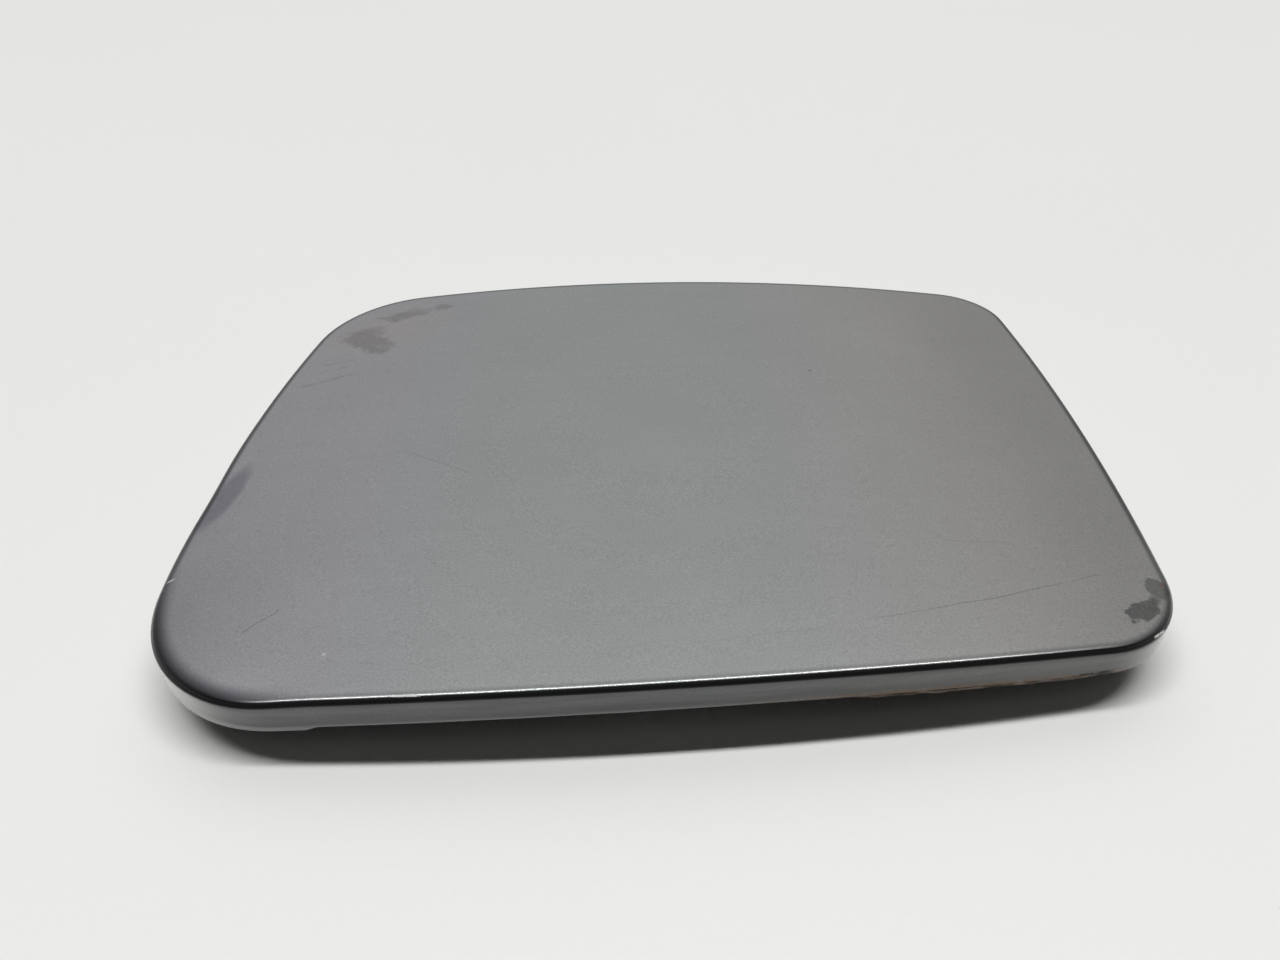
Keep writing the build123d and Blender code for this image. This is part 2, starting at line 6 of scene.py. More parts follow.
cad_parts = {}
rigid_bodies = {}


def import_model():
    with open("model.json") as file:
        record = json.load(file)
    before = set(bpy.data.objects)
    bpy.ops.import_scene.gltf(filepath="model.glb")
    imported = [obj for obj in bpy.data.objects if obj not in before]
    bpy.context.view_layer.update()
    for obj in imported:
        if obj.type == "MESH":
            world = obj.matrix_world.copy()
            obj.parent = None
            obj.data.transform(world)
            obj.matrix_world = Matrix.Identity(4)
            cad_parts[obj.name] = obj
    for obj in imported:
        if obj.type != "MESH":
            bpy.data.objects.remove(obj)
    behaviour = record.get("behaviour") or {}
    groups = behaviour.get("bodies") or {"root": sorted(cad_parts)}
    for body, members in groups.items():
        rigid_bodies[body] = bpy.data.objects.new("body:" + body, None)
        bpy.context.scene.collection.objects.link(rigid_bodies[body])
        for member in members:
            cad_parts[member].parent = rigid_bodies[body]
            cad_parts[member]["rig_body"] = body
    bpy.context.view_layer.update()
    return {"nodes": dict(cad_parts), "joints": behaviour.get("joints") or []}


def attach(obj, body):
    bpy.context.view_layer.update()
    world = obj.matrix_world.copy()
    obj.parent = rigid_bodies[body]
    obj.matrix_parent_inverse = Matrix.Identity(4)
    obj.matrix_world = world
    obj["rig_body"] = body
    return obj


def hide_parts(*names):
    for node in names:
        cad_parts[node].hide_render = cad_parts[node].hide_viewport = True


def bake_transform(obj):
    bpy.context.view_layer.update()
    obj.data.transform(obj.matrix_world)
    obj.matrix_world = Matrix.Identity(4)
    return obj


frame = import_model()

# Outer skin: a crowned pressing in thin steel with its edge turned down all round, pushed in a little
# at the left edge. It is painted dark metallic grey under lacquer that has gone dull on top, stained at
# two corners and finely scratched, and the inner panel is bonded into it.
MM = 0.001
LEAN = math.radians(2.6)
PIN_BEHIND_APEX = 0.0796
PIN_UNDER_APEX = 0.013
FRONT_WIDTH = 0.1748
BACK_WIDTH = 0.1652
DEPTH = 0.1246
BACK_SHIFT = 0.0062
FRONT_SLANT = 0.0086
FRONT_BULGE = 0.00475
RIGHT_BULGE = 0.00285
BACK_BULGE = 0.0068
LEFT_BULGE = 0.0052
FRONT_LEFT_ROUND = 0.0266
FRONT_RIGHT_ROUND = 0.019
BACK_RIGHT_ROUND = 0.015
BACK_LEFT_ROUND = 0.0266
CROWN_RADIUS_X = 1.23
CROWN_RADIUS_Y = 1.81
SKIN_SHEET = 0.0008
SKIN_ROUND = 0.0013
ROUND_STEPS = 10
FLANGE_DEPTH = 0.0057
FLANGE_WAVE = 0.00008
FLANGE_WAVE_LENGTH = 0.011
EDGE_BREAK = 0.00012
CORNER_LIP = 0.0007
CORNER_LIP_FRONT = 0.032
CORNER_LIP_SIDE = 0.026
LIP_STEP_LENGTH = 0.0012
CORNER_SAG = 0.00045
CORNER_SAG_START = 0.7
CORNER_SAG_SPREAD = (0.5, 0.95)
DENT_MIDDLE = -0.0155
DENT_LENGTH = 0.0098
DENT_REACH = 0.0085
DENT_DROP = 0.0004
DENT_NOTCH = 0.00012
DENT_TAIL = 2.5
CELLS_ACROSS = 92
CELLS_DEEP = 66
GRID_INSET = 0.008
SHOULDER_RINGS = (0.0064, 0.005, 0.0038, 0.0028, 0.002)
WALL_RINGS = (0.0021, 0.003, 0.0039, 0.0048)
ROUND_POINTS = 40
SIDE_POINTS = 200
EDGE_ANGLE = math.radians(50)
SHEET_SMOOTH = math.radians(40)

pin_place = Vector(frame["joints"][0]["pos_m"])
flap_place = (
    Matrix.Translation(pin_place)
    @ Matrix.Rotation(LEAN, 4, "X")
    @ Matrix.Translation((0, -PIN_BEHIND_APEX, PIN_UNDER_APEX))
)


def side_circle(start, end, bulge):
    """Centre and radius of the arc that bulges to the right of a line."""
    chord = end - start
    radius = (chord.length**2 / 4 + bulge**2) / (2 * bulge)
    inward = Vector((-chord.y, chord.x)).normalized()
    return (start + end) / 2 + inward * (radius - bulge), radius


def crossing(first, first_radius, second, second_radius, near):
    """Point where two circles cross, the one nearer to a given point."""
    between = second - first
    along = (first_radius**2 - second_radius**2 + between.length_squared) / (2 * between.length)
    aside = math.sqrt(first_radius**2 - along**2)
    unit = between.normalized()
    crosswise = Vector((-unit.y, unit.x)) * aside
    foot = first + unit * along
    return min((foot + crosswise, foot - crosswise), key=lambda point: (point - near).length)


def arc_points(centre, radius, start, end, count):
    """Places and outward directions along an arc between two directions."""
    begin = math.atan2(start.y, start.x)
    turn = (math.atan2(end.y, end.x) - begin) % math.tau
    places = []
    for step in range(count + 1):
        angle = begin + turn * step / count
        outward = Vector((math.cos(angle), math.sin(angle)))
        places.append((centre + outward * radius, outward))
    return places


def evenly(places, count):
    """Resamples a row of places to evenly spaced ones, without the last."""
    runs = [(b[0] - a[0]).length for a, b in zip(places, places[1:])]
    step = sum(runs) / count
    spaced = []
    passed = 0.0
    index = 0
    for number in range(count):
        target = step * number
        while passed + runs[index] < target:
            passed += runs[index]
            index += 1
        share = (target - passed) / runs[index]
        point = places[index][0].lerp(places[index + 1][0], share)
        outward = places[index][1].lerp(places[index + 1][1], share).normalized()
        spaced.append((point, outward))
    return spaced


def flap_outline():
    """Places round the flap's edge with outward directions, from the middle of the front left round."""
    corners = (
        Vector((-FRONT_WIDTH / 2, -DEPTH / 2 - FRONT_SLANT / 2)),
        Vector((FRONT_WIDTH / 2, -DEPTH / 2 + FRONT_SLANT / 2)),
        Vector((BACK_WIDTH / 2 + BACK_SHIFT, DEPTH / 2)),
        Vector((-BACK_WIDTH / 2 + BACK_SHIFT, DEPTH / 2)),
    )
    bulges = (FRONT_BULGE, RIGHT_BULGE, BACK_BULGE, LEFT_BULGE)
    rounds = (FRONT_LEFT_ROUND, FRONT_RIGHT_ROUND, BACK_RIGHT_ROUND, BACK_LEFT_ROUND)
    counts = (CELLS_ACROSS, CELLS_DEEP, CELLS_ACROSS, CELLS_DEEP)
    sides = [side_circle(corners[i], corners[(i + 1) % 4], bulges[i]) for i in range(4)]
    centres = []
    for i, radius in enumerate(rounds):
        (last, last_radius), (this, this_radius) = sides[i - 1], sides[i]
        centres.append(crossing(last, last_radius - radius, this, this_radius - radius, corners[i]))
    outline = []
    for i in range(4):
        centre, radius = sides[i]
        here, there = centres[i], centres[(i + 1) % 4]
        leave = (here - centre).normalized()
        arrive = (there - centre).normalized()
        before = (here - sides[i - 1][0]).normalized()
        after = (there - sides[(i + 1) % 4][0]).normalized()
        half_before = (before + leave).normalized()
        half_after = (arrive + after).normalized()
        row = arc_points(here, rounds[i], half_before, leave, ROUND_POINTS)
        row += arc_points(centre, radius, leave, arrive, SIDE_POINTS)[1:]
        row += arc_points(there, rounds[(i + 1) % 4], arrive, half_after, ROUND_POINTS)[1:]
        outline += evenly(row, counts[i])
    return outline


def crown(x, y):
    """Height of the crown over a point of the flap."""
    return -x * x / (2 * CROWN_RADIUS_X) - y * y / (2 * CROWN_RADIUS_Y)


def edge_place(index, inwards, depth):
    """Point of the flap at a place round its edge, moved inwards and down from the crown."""
    point, outward = edge[index]
    moved = point - outward * inwards
    return Vector((moved.x, moved.y, crown(moved.x, moved.y) - depth))


def crowned_grid(name, inwards, depth):
    """Grid inside the flap's edge on a level under the crown, with each edge vertex numbered."""
    bpy.ops.object.select_all(action="DESELECT")
    bpy.ops.mesh.primitive_grid_add(
        x_subdivisions=CELLS_ACROSS, y_subdivisions=CELLS_DEEP, size=1, location=(0, 0, 0)
    )
    made = bpy.context.object
    made.name = name
    number = made.data.attributes.new("turn", "INT", "POINT")
    total = len(edge)
    front, right = CELLS_ACROSS, CELLS_ACROSS + CELLS_DEEP
    for vertex in made.data.vertices:
        column = round((vertex.co.x + 0.5) * CELLS_ACROSS)
        row = round((vertex.co.y + 0.5) * CELLS_DEEP)
        u, v = column / CELLS_ACROSS, row / CELLS_DEEP
        low = edge_place(column, inwards, 0)
        high = edge_place(right + CELLS_ACROSS - column, inwards, 0)
        left = edge_place((total - row) % total, inwards, 0)
        far = edge_place(front + row, inwards, 0)
        across = low * (1 - v) + high * v
        along = left * (1 - u) + far * u
        corner_low = edge_place(0, inwards, 0) * (1 - u) + edge_place(front, inwards, 0) * u
        back_left = edge_place(right + CELLS_ACROSS, inwards, 0)
        corner_high = back_left * (1 - u) + edge_place(right, inwards, 0) * u
        place = across + along - corner_low * (1 - v) - corner_high * v
        vertex.co = (place.x, place.y, crown(place.x, place.y) - depth)
        if row == 0:
            number.data[vertex.index].value = column
        elif column == CELLS_ACROSS:
            number.data[vertex.index].value = front + row
        elif row == CELLS_DEEP:
            number.data[vertex.index].value = right + CELLS_ACROSS - column
        elif column == 0:
            number.data[vertex.index].value = total - row
    bpy.ops.object.mode_set(mode="EDIT")
    bpy.ops.mesh.select_all(action="SELECT")
    bpy.ops.mesh.region_to_loop()
    return made


def draw_edge(made, inwards, depth):
    """Extrudes the selected loop and lays it round the flap, moved inwards and down from the crown."""
    bpy.ops.mesh.extrude_edges_move()
    bpy.ops.object.mode_set(mode="OBJECT")
    lay_edge(made, inwards, depth)
    bpy.ops.object.mode_set(mode="EDIT")


def draw_round(made, inset, level, radius, steps):
    """Draws the selected loop over a quarter round, from a level under the crown down to the wall."""
    for step in range(steps + 1):
        angle = math.pi / 2 * step / steps
        draw_edge(made, inset + radius * (1 - math.sin(angle)), level + radius * (1 - math.cos(angle)))


def lay_edge(made, inwards, depth):
    """Lays the selected vertices round the flap; both measures may change with the place round it."""
    turn = made.data.attributes["turn"].data
    for vertex in made.data.vertices:
        if vertex.select:
            index = turn[vertex.index].value
            far = inwards(index) if callable(inwards) else inwards
            low = depth(index) if callable(depth) else depth
            vertex.co = edge_place(index, far, low)


def smooth_step(low, high, value):
    """Runs from 0 to 1 between two values, easing in and out."""
    share = min(max((value - low) / (high - low), 0), 1)
    return share * share * (3 - 2 * share)


def flange_bottom(index):
    """Depth of the flange's bottom, deeper round the front left corner and slightly wavy."""
    point = edge[index][0]
    lip_x = -FRONT_WIDTH / 2 + CORNER_LIP_FRONT
    lip_y = -DEPTH / 2 + CORNER_LIP_SIDE
    beside = 1 - smooth_step(lip_x - LIP_STEP_LENGTH, lip_x, point.x)
    before = 1 - smooth_step(lip_y - LIP_STEP_LENGTH, lip_y, point.y)
    wave = noise.noise((point.x / FLANGE_WAVE_LENGTH, point.y / FLANGE_WAVE_LENGTH, 0)) * FLANGE_WAVE
    return FLANGE_DEPTH + CORNER_LIP * beside * before + wave


def press_dent(made):
    """Notes how deep and how far in each point lies, then sags the corner and pushes in the edge."""
    made.data.attributes.new("fall", "FLOAT", "POINT")
    made.data.attributes.new("inset", "FLOAT", "POINT")
    fall, inset = made.data.attributes["fall"], made.data.attributes["inset"]
    rim = kdtree.KDTree(len(edge))
    for index, (place, outward) in enumerate(edge):
        rim.insert((place.x, place.y, 0), index)
    rim.balance()
    corner, corner_outward = edge[0]
    corner_middle = corner - corner_outward * FRONT_LEFT_ROUND
    for vertex in made.data.vertices:
        flat = vertex.co.xy
        drop = crown(flat.x, flat.y) - vertex.co.z
        from_edge = rim.find((flat.x, flat.y, 0))[2]
        fall.data[vertex.index].value = drop
        inset.data[vertex.index].value = from_edge
        above = 1 - min(drop / FLANGE_DEPTH, 1)
        off = flat - corner_middle
        reach = smooth_step(CORNER_SAG_START, 1, off.length / FRONT_LEFT_ROUND)
        facing = smooth_step(*CORNER_SAG_SPREAD, off.normalized().dot(corner_outward))
        vertex.co.z -= CORNER_SAG * reach * facing * above
        along = (flat.y - DENT_MIDDLE) / DENT_LENGTH
        if flat.x < 0 and abs(along) < DENT_TAIL:
            press = max(1 - from_edge / DENT_REACH, 0) * math.exp(-along * along)
            vertex.co.z -= DENT_DROP * press * above
            vertex.co.x += DENT_NOTCH * press * above


def set_in_flap(made):
    """Sets a piece, modelled on the flap's own crown, in its place on the car body's frame."""
    bpy.ops.object.mode_set(mode="OBJECT")
    made.matrix_world = flap_place
    bpy.ops.object.transform_apply(location=True, rotation=True, scale=True)


def pick(made):
    """Makes a piece the only one that is selected, and the active one."""
    bpy.ops.object.select_all(action="DESELECT")
    made.select_set(True)
    bpy.context.view_layer.objects.active = made


def add_modifier(made, kind, **settings):
    """Adds a modifier with its settings and applies it."""
    modifier = made.modifiers.new(kind.title(), kind)
    for name, value in settings.items():
        setattr(modifier, name, value)
    bpy.ops.object.modifier_apply(modifier=modifier.name)


edge = flap_outline()
skin = crowned_grid("painted_skin", GRID_INSET, 0)
for inwards in SHOULDER_RINGS:
    draw_edge(skin, inwards, 0)
draw_round(skin, 0, 0, SKIN_ROUND, ROUND_STEPS)
for depth in WALL_RINGS:
    draw_edge(skin, 0, depth)
draw_edge(skin, 0, flange_bottom)
bpy.ops.object.mode_set(mode="OBJECT")
press_dent(skin)
add_modifier(skin, "SOLIDIFY", thickness=SKIN_SHEET, offset=-1, use_even_offset=True)
add_modifier(skin, "BEVEL", width=EDGE_BREAK, segments=2, limit_method="ANGLE", angle_limit=EDGE_ANGLE)
set_in_flap(skin)
bpy.ops.object.shade_smooth_by_angle(angle=SHEET_SMOOTH)
skin.data.attributes.remove(skin.data.attributes["turn"])


class Thread:
    """A value running through a material's nodes; sums and products of it add the nodes they need."""

    def __init__(self, tree, socket=None):
        self.tree = tree
        self.socket = socket

    def node(self, kind, settings, *inputs, output=0, **named):
        """Adds a node with its settings, fills its sockets and gives one of its outputs."""
        made = self.tree.nodes.new("ShaderNode" + kind)
        for name, value in settings.items():
            setattr(made, name, value)
        sockets = [socket for socket in made.inputs if socket.enabled]
        pairs = list(zip(sockets, inputs))
        for name, value in named.items():
            pairs.append((next(s for s in sockets if s.name == name.replace("_", " ")), value))
        for socket, value in pairs:
            if isinstance(value, Thread):
                self.tree.links.new(value.socket, socket)
            else:
                socket.default_value = value
        outputs = [socket for socket in made.outputs if socket.enabled]
        return Thread(self.tree, outputs[output])

    def math(self, operation, *others):
        return self.node("Math", {"operation": operation}, self, *others)

    def __add__(self, other):
        return self.math("ADD", other)

    def __sub__(self, other):
        return self.math("SUBTRACT", other)

    def __rsub__(self, other):
        return self.node("Math", {"operation": "SUBTRACT"}, other, self)

    def __mul__(self, other):
        return self.math("MULTIPLY", other)

    def __truediv__(self, other):
        return self.math("DIVIDE", other)

    __radd__ = __add__
    __rmul__ = __mul__


def new_finish(name):
    """New material and the place on the object, in millimetres."""
    material = bpy.data.materials.new(name)
    material.use_nodes = True
    metres = Thread(material.node_tree).node("TexCoord", {}, output=3)
    return material, metres.node("VectorMath", {"operation": "SCALE"}, metres, Scale=1 / MM)


def feed(material, **values):
    """Feeds values or threads to the sockets of a material's shader, and gives the material back."""
    shader = material.node_tree.nodes["Principled BSDF"]
    for name, value in values.items():
        socket = shader.inputs[name.replace("_", " ")]
        if isinstance(value, Thread):
            material.node_tree.links.new(value.socket, socket)
        else:
            socket.default_value = value
    return material


def grain(place, scale, detail=2.0, roughness=0.5, distortion=0.0):
    """Cloudy noise from 0 to 1."""
    return place.node(
        "TexNoise", {}, Vector=place, Scale=scale, Detail=detail, Roughness=roughness, Distortion=distortion
    )


def streaks(place, turn, scale, detail):
    """Cloudy noise turned about Z and drawn out to streaks or brush marks."""
    drawn_out = place.node("Mapping", {}, place, Rotation=(0, 0, turn), Scale=scale)
    return grain(drawn_out, 1.0, detail)


def rise(value, low, high):
    """Runs from 0 to 1 between two values, easing in and out."""
    return value.node("MapRange", {"interpolation_type": "SMOOTHSTEP"}, value, low, high)


def fade(value, low, high):
    """Runs from 1 to 0 between two values, easing in and out."""
    return 1 - rise(value, low, high)


def tint(mask, first, second):
    """Colour that goes from the first to the second as a mask goes from 0 to 1."""
    return mask.node("Mix", {"data_type": "RGBA"}, mask, first, second)


def relief(height, strength, distance):
    """Directions of a surface with fine relief, from its height."""
    return height.node("Bump", {}, Strength=strength, Distance=distance, Height=height)


def toned(colour, tone):
    """Colour made lighter or darker by a factor."""
    return tone.node("VectorMath", {"operation": "SCALE"}, colour, Scale=tone)


def most(*masks):
    """The strongest of several masks."""
    strongest = masks[0]
    for mask in masks[1:]:
        strongest = strongest.math("MAXIMUM", mask)
    return strongest


def split(place):
    """The three measures of a place."""
    x = place.node("SeparateXYZ", {}, place, output=0)
    return [Thread(x.tree, output) for output in x.socket.node.outputs]


def on_flap(place):
    """Place on the flap in millimetres from the crown's top."""
    back = Matrix.Rotation(-LEAN, 3, "X")
    offset = Vector((0, PIN_BEHIND_APEX, -PIN_UNDER_APEX)) - back @ pin_place
    return place.node("Mapping", {}, place, Location=offset / MM, Rotation=(-LEAN, 0, 0))


BLOTCH_EDGE = 1.1
SCRATCH_CORE = 0.3


def blotch(x, y, spot, ragged=0, soft=0.4):
    """Mask of an oval spot with a ragged edge."""
    middle, size, turn = spot
    cosine, sine = math.cos(turn), math.sin(turn)
    along = ((x - middle[0]) * cosine + (y - middle[1]) * sine) / size[0]
    aside = ((y - middle[1]) * cosine - (x - middle[0]) * sine) / size[1]
    return fade(along * along + aside * aside + ragged, BLOTCH_EDGE - soft, BLOTCH_EDGE)


def scratch(x, y, start, end, width):
    """Mask of a straight scratch between two points."""
    run = Vector(end) - Vector(start)
    unit = run.normalized()
    along = (x - start[0]) * unit.x + (y - start[1]) * unit.y
    aside = ((x - start[0]) * unit.y - (y - start[1]) * unit.x).math("ABSOLUTE")
    ends = rise(along, -width, width) * fade(along, run.length - width, run.length + width)
    return fade(aside, width * SCRATCH_CORE, width) * ends


def scratch_line(x, y, points, width):
    """Mask of a scratch that bends at its points."""
    return most(*[scratch(x, y, a, b, width) for a, b in zip(points, points[1:])])


# The paint's own dark grey, with a painted tint of the room's light drifting from violet at the left
# through green to warm at the right
LEFT_PAINT_AND_ROOM_TINT = (0.274, 0.272, 0.286, 1)
MIDDLE_PAINT_AND_ROOM_TINT = (0.265, 0.28, 0.276, 1)
RIGHT_PAINT_AND_ROOM_TINT = (0.276, 0.272, 0.267, 1)
RUSTY_FILM = (0.282, 0.265, 0.26, 1)
# Violet of the painted shade over the dent
DENT_SHADE_TINT = (0.25, 0.24, 0.294, 1)
# Violet of the painted shade on the front corners' roundings
CORNER_SHADE_TINT = (0.21, 0.203, 0.246, 1)
SPECK_RUST = (0.13, 0.062, 0.04, 1)
# Primer in a nick, and the pale of the painted glints on the rim
PRIMER_AND_GLINT_WHITE = (0.72, 0.72, 0.7, 1)
# Painted reflections of the lit table in the flange's two ends
LEFT_END_PAINTED_REFLECTION = (0.48, 0.475, 0.462, 1)
RIGHT_END_PAINTED_REFLECTION = (0.44, 0.42, 0.38, 1)
FLANGE_DIRT = (0.17, 0.115, 0.078, 1)
# Black of a patch low on the flange wall at the front right
LOW_PATCH_BLACK = (0.012, 0.01, 0.009, 1)

# Scratches by their points and widths, in millimetres from the crown's top
LONG_SCRATCH = ((3.4, -58.5), (21.4, -56.3), (38.5, -52.9), (56.7, -48.7), (76.3, -43.2))
LONG_SCRATCH_WIDTH = 0.16
LONG_SCRATCH_DEEPENS = (20.0, 66.0)
KEY_SCRATCH = ((-49.9, -5.8), (-36.9, -13.4))
SIDE_SCRATCH = ((51.0, -34.7), (62.8, -35.2))
SHORT_SCRATCH_WIDTH = 0.15
CRACK = ((-70.4, -52.9), (-68.6, -50.5), (-66.8, -49.1), (-65.2, -47.4))
CRACK_WIDTH = 0.2
STREAKS = (
    ((-79.5, 22.0), (-73.2, 24.1), (-70.0, 26.0), (-67.4, 26.9)),
    ((-76.7, 28.2), (-73.2, 28.6), (-70.6, 29.7)),
    ((-76.6, 31.0), (-72.0, 32.0), (-68.8, 33.4)),
)
STREAK_WIDTH = 0.8
STAIN_NECK = ((84.4, -48.2), (82.4, -50.3))
STAIN_NECK_WIDTH = 1.3
# Painted glints on the rim, as strokes by their end points
RIM_GLINTS = (
    ((-71.8, -66.4), (-68.8, -67.5)),
    ((-42.7, -67.1), (-38.0, -67.2)),
    ((80.3, -56.9), (82.9, -55.1)),
)
GLINT_WIDTH = 0.2

# Spots by their middle, half length and half width, and turn
ROUND_STAIN = ((85.5, -46.1), (2.2, 2.7), 0)
CORNER_STAIN = ((80.4, -51.6), (3.9, 2.0), 0.5)
EDGE_STAIN = ((-60.3, 55.0), (10.5, 3.0), 0.36)
EDGE_STAIN_END = ((-52.8, 57.3), (3.2, 2.0), 0.2)
PATCH_STAIN = ((-67.6, 42.0), (8.6, 5.4), -0.9)
FILM = ((-63.5, 47.5), (17.0, 11.0), 0.5)
# Painted shade over the dent at the left edge
DENT_SHADE_PATCH = ((-84.4, -16.2), (11.5, 3.0), 1.363)
RUST_SPECK = ((86.6, -45.0), (0.6, 0.35), 0.8)
SIDE_NICK = ((-87.0, -39.1), (0.8, 0.15), 0.7)
# A painted glint on the rim at the front right
RIM_GLINT_SPOT = ((74.8, -60.0), (0.35, 0.25), 0)
PALE_SPECK = ((-55.4, -58.2), (0.35, 0.3), 0)
DARK_SPECK = ((35.8, 22.1), (0.35, 0.35), 0)

# How much of the paint's light each mark takes away; the band, wall, right side, corner and dent ones are
# painted shade
FRONT_STAIN_DARK = 0.66
BACK_STAIN_DARK = 0.36
DENT_SHADE_DARK = 0.42
STREAK_DARK = 0.17
SCRATCH_DARK = 0.55
SPECK_DARK = 0.5
BAND_SHADE_DARK = 0.97
WALL_SHADE_DARK = 0.64
WALL_SHADE_DEEPER_LOW = 0.16
LIP_PALER = 0.22
RIGHT_PAINTED_SHADE = 0.16
CORNER_PAINTED_SHADE = 0.14

# Places between which something comes or goes: across, along, or down from the crown and in from the edge
MIDDLE_COMES = (-75.0, -15.0)
RIGHT_COMES = (0.0, 60.0)
# Where the painted shade towards the right edge comes in
RIGHT_DIMS = (48.0, 88.0)
# Where the painted shade towards the front left corner clears
CORNER_CLEARS_X = (-90.0, -55.0)
CORNER_CLEARS_Y = (-55.0, -5.0)
# Where the painted light towards the back comes in
BACK_LIGHTENS = (-65.0, 30.0)
FRONT_GOES = (-54.0, -50.0)
DIRT_COMES = (2.0, 38.0)
DIRT_GOES = (72.0, 80.0)
LOW_PATCH_COMES = (65.5, 67.0)
LOW_PATCH_GOES = (72.5, 74.0)
DIRT_FALL = (4.75, 5.3)
LOW_PATCH_FALL = (4.7, 5.1)
# How far down the rounding the nick and the painted glints reach
NICK_AND_GLINT_FALL = (0.9, 1.1)
BAND_FALL = (0.05, 0.14)
BARE_FALL = (0.3, 0.45)
WALL_FALL = (0.72, 0.95)
LOW_FALL = (2.0, 4.9)
LIP_FALL = (5.2, 5.5)
LEFT_SHADE_INSET = (0.9, 4.0)
RIGHT_SHADE_INSET = (0.6, 2.2)
EDGE_SHADE_LINE_INSET = (1.2, 2.1)
SATIN_INSET = (1.0, 2.4)
BEHIND_COMES = (-50.0, -20.0)
# Where the painted reflections on the flange's ends fade out
LEFT_END_GOES_X = (-86.0, -68.0)
LEFT_END_GOES_Y = (-60.0, -26.0)
RIGHT_END_COMES_X = (83.0, 92.0)
RIGHT_END_GOES_Y = (-50.0, -40.0)


def round_corner(x, y, index, radius):
    """How far a place points from the middle of a corner's arc towards its tip; 1 at the tip."""
    tip, outward = edge[index]
    middle = (tip - outward * radius) / MM
    return ((x - middle.x) * outward.x + (y - middle.y) * outward.y) / (radius / MM)


def stain_masks(x, y, lumpy, ragged, crumbs, cloud, smear):
    """Masks of the stains at the front right and the back left, the rusty film, and the dent's painted
    shade with its crazing.
    """
    front_stain = most(
        blotch(x, y, ROUND_STAIN, ragged * 0.6) * 0.8,
        blotch(x, y, CORNER_STAIN, ragged * 1.5),
        scratch_line(x, y, STAIN_NECK, STAIN_NECK_WIDTH),
    )
    back_stain = most(
        blotch(x, y, EDGE_STAIN, lumpy, 1.0) * rise(smear, 0.35, 0.6),
        blotch(x, y, EDGE_STAIN_END, lumpy, 1.0) * 0.9,
        blotch(x, y, PATCH_STAIN, lumpy, 0.9),
    )
    film = blotch(x, y, FILM, lumpy * 0.6, 0.9)
    # The dent's mark: painted shade over the pushed-in edge, with crazed paint in its relief
    dent_shade_and_crazing = blotch(x, y, DENT_SHADE_PATCH, lumpy * 0.14, 0.85)
    front_stain = front_stain * (0.65 + crumbs * 0.6)
    back_stain = back_stain * (0.6 + cloud * 0.4 + (crumbs - 0.5) * 0.4)
    return front_stain, back_stain, film, dent_shade_and_crazing * (0.8 + (crumbs - 0.5) * 0.5)


def scratch_masks(x, y, flat, crumbs):
    """Masks of the fine dark scratches and of the faint broad streaks."""
    streak = streaks(flat, -0.42, (0.035, 0.5, 0.3), 3.0)
    broken = 0.25 + rise(streak, 0.35, 0.65) * 0.75
    wander = (grain(flat, 0.1, 2.0) - 0.5) * 1.2 + (crumbs - 0.5) * 0.25
    deepening = 0.28 + rise(x, *LONG_SCRATCH_DEEPENS) * 0.34
    lines = most(
        scratch_line(x, y + wander, LONG_SCRATCH, LONG_SCRATCH_WIDTH) * deepening * broken,
        scratch_line(x, y + wander, KEY_SCRATCH, SHORT_SCRATCH_WIDTH) * 0.35,
        scratch_line(x, y + wander, SIDE_SCRATCH, SHORT_SCRATCH_WIDTH) * 0.3,
        scratch_line(x, y + wander * 2.0, CRACK, CRACK_WIDTH) * 0.5,
    )
    runs = most(*[scratch_line(x, y + wander * 0.5, line, STREAK_WIDTH) for line in STREAKS])
    return lines, runs * broken


def nick_and_glint_mask(x, y, fall, ragged, crumbs):
    """Mask of a nick down to the primer at the left side, and of painted glints along the rim."""
    nick_and_glints = most(
        blotch(x, y, SIDE_NICK, ragged * 0.2) * 0.6,
        blotch(x, y, RIM_GLINT_SPOT),
        *[scratch(x, y, start, end, GLINT_WIDTH) * rise(crumbs, 0.42, 0.5) for start, end in RIM_GLINTS],
    )
    return nick_and_glints * fade(fall, *NICK_AND_GLINT_FALL)


def dirt_masks(x, y, fall, crumbs):
    """Masks of the brown dirt along the bottom of the flange and of a black patch low on the wall near the
    front right corner.
    """
    front = fade(y, *FRONT_GOES)
    reach = front * rise(x, *DIRT_COMES) * fade(x, *DIRT_GOES)
    dirt = rise(fall + (crumbs - 0.5) * 1.8, *DIRT_FALL) * reach * rise(crumbs, 0.3, 0.5)
    low_patch_reach = rise(x, *LOW_PATCH_COMES) * fade(x, *LOW_PATCH_GOES) * front
    dark_patch = low_patch_reach * rise(fall + (crumbs - 0.5) * 2.4, *LOW_PATCH_FALL) * rise(crumbs, 0.42, 0.52)
    return dirt, dark_patch


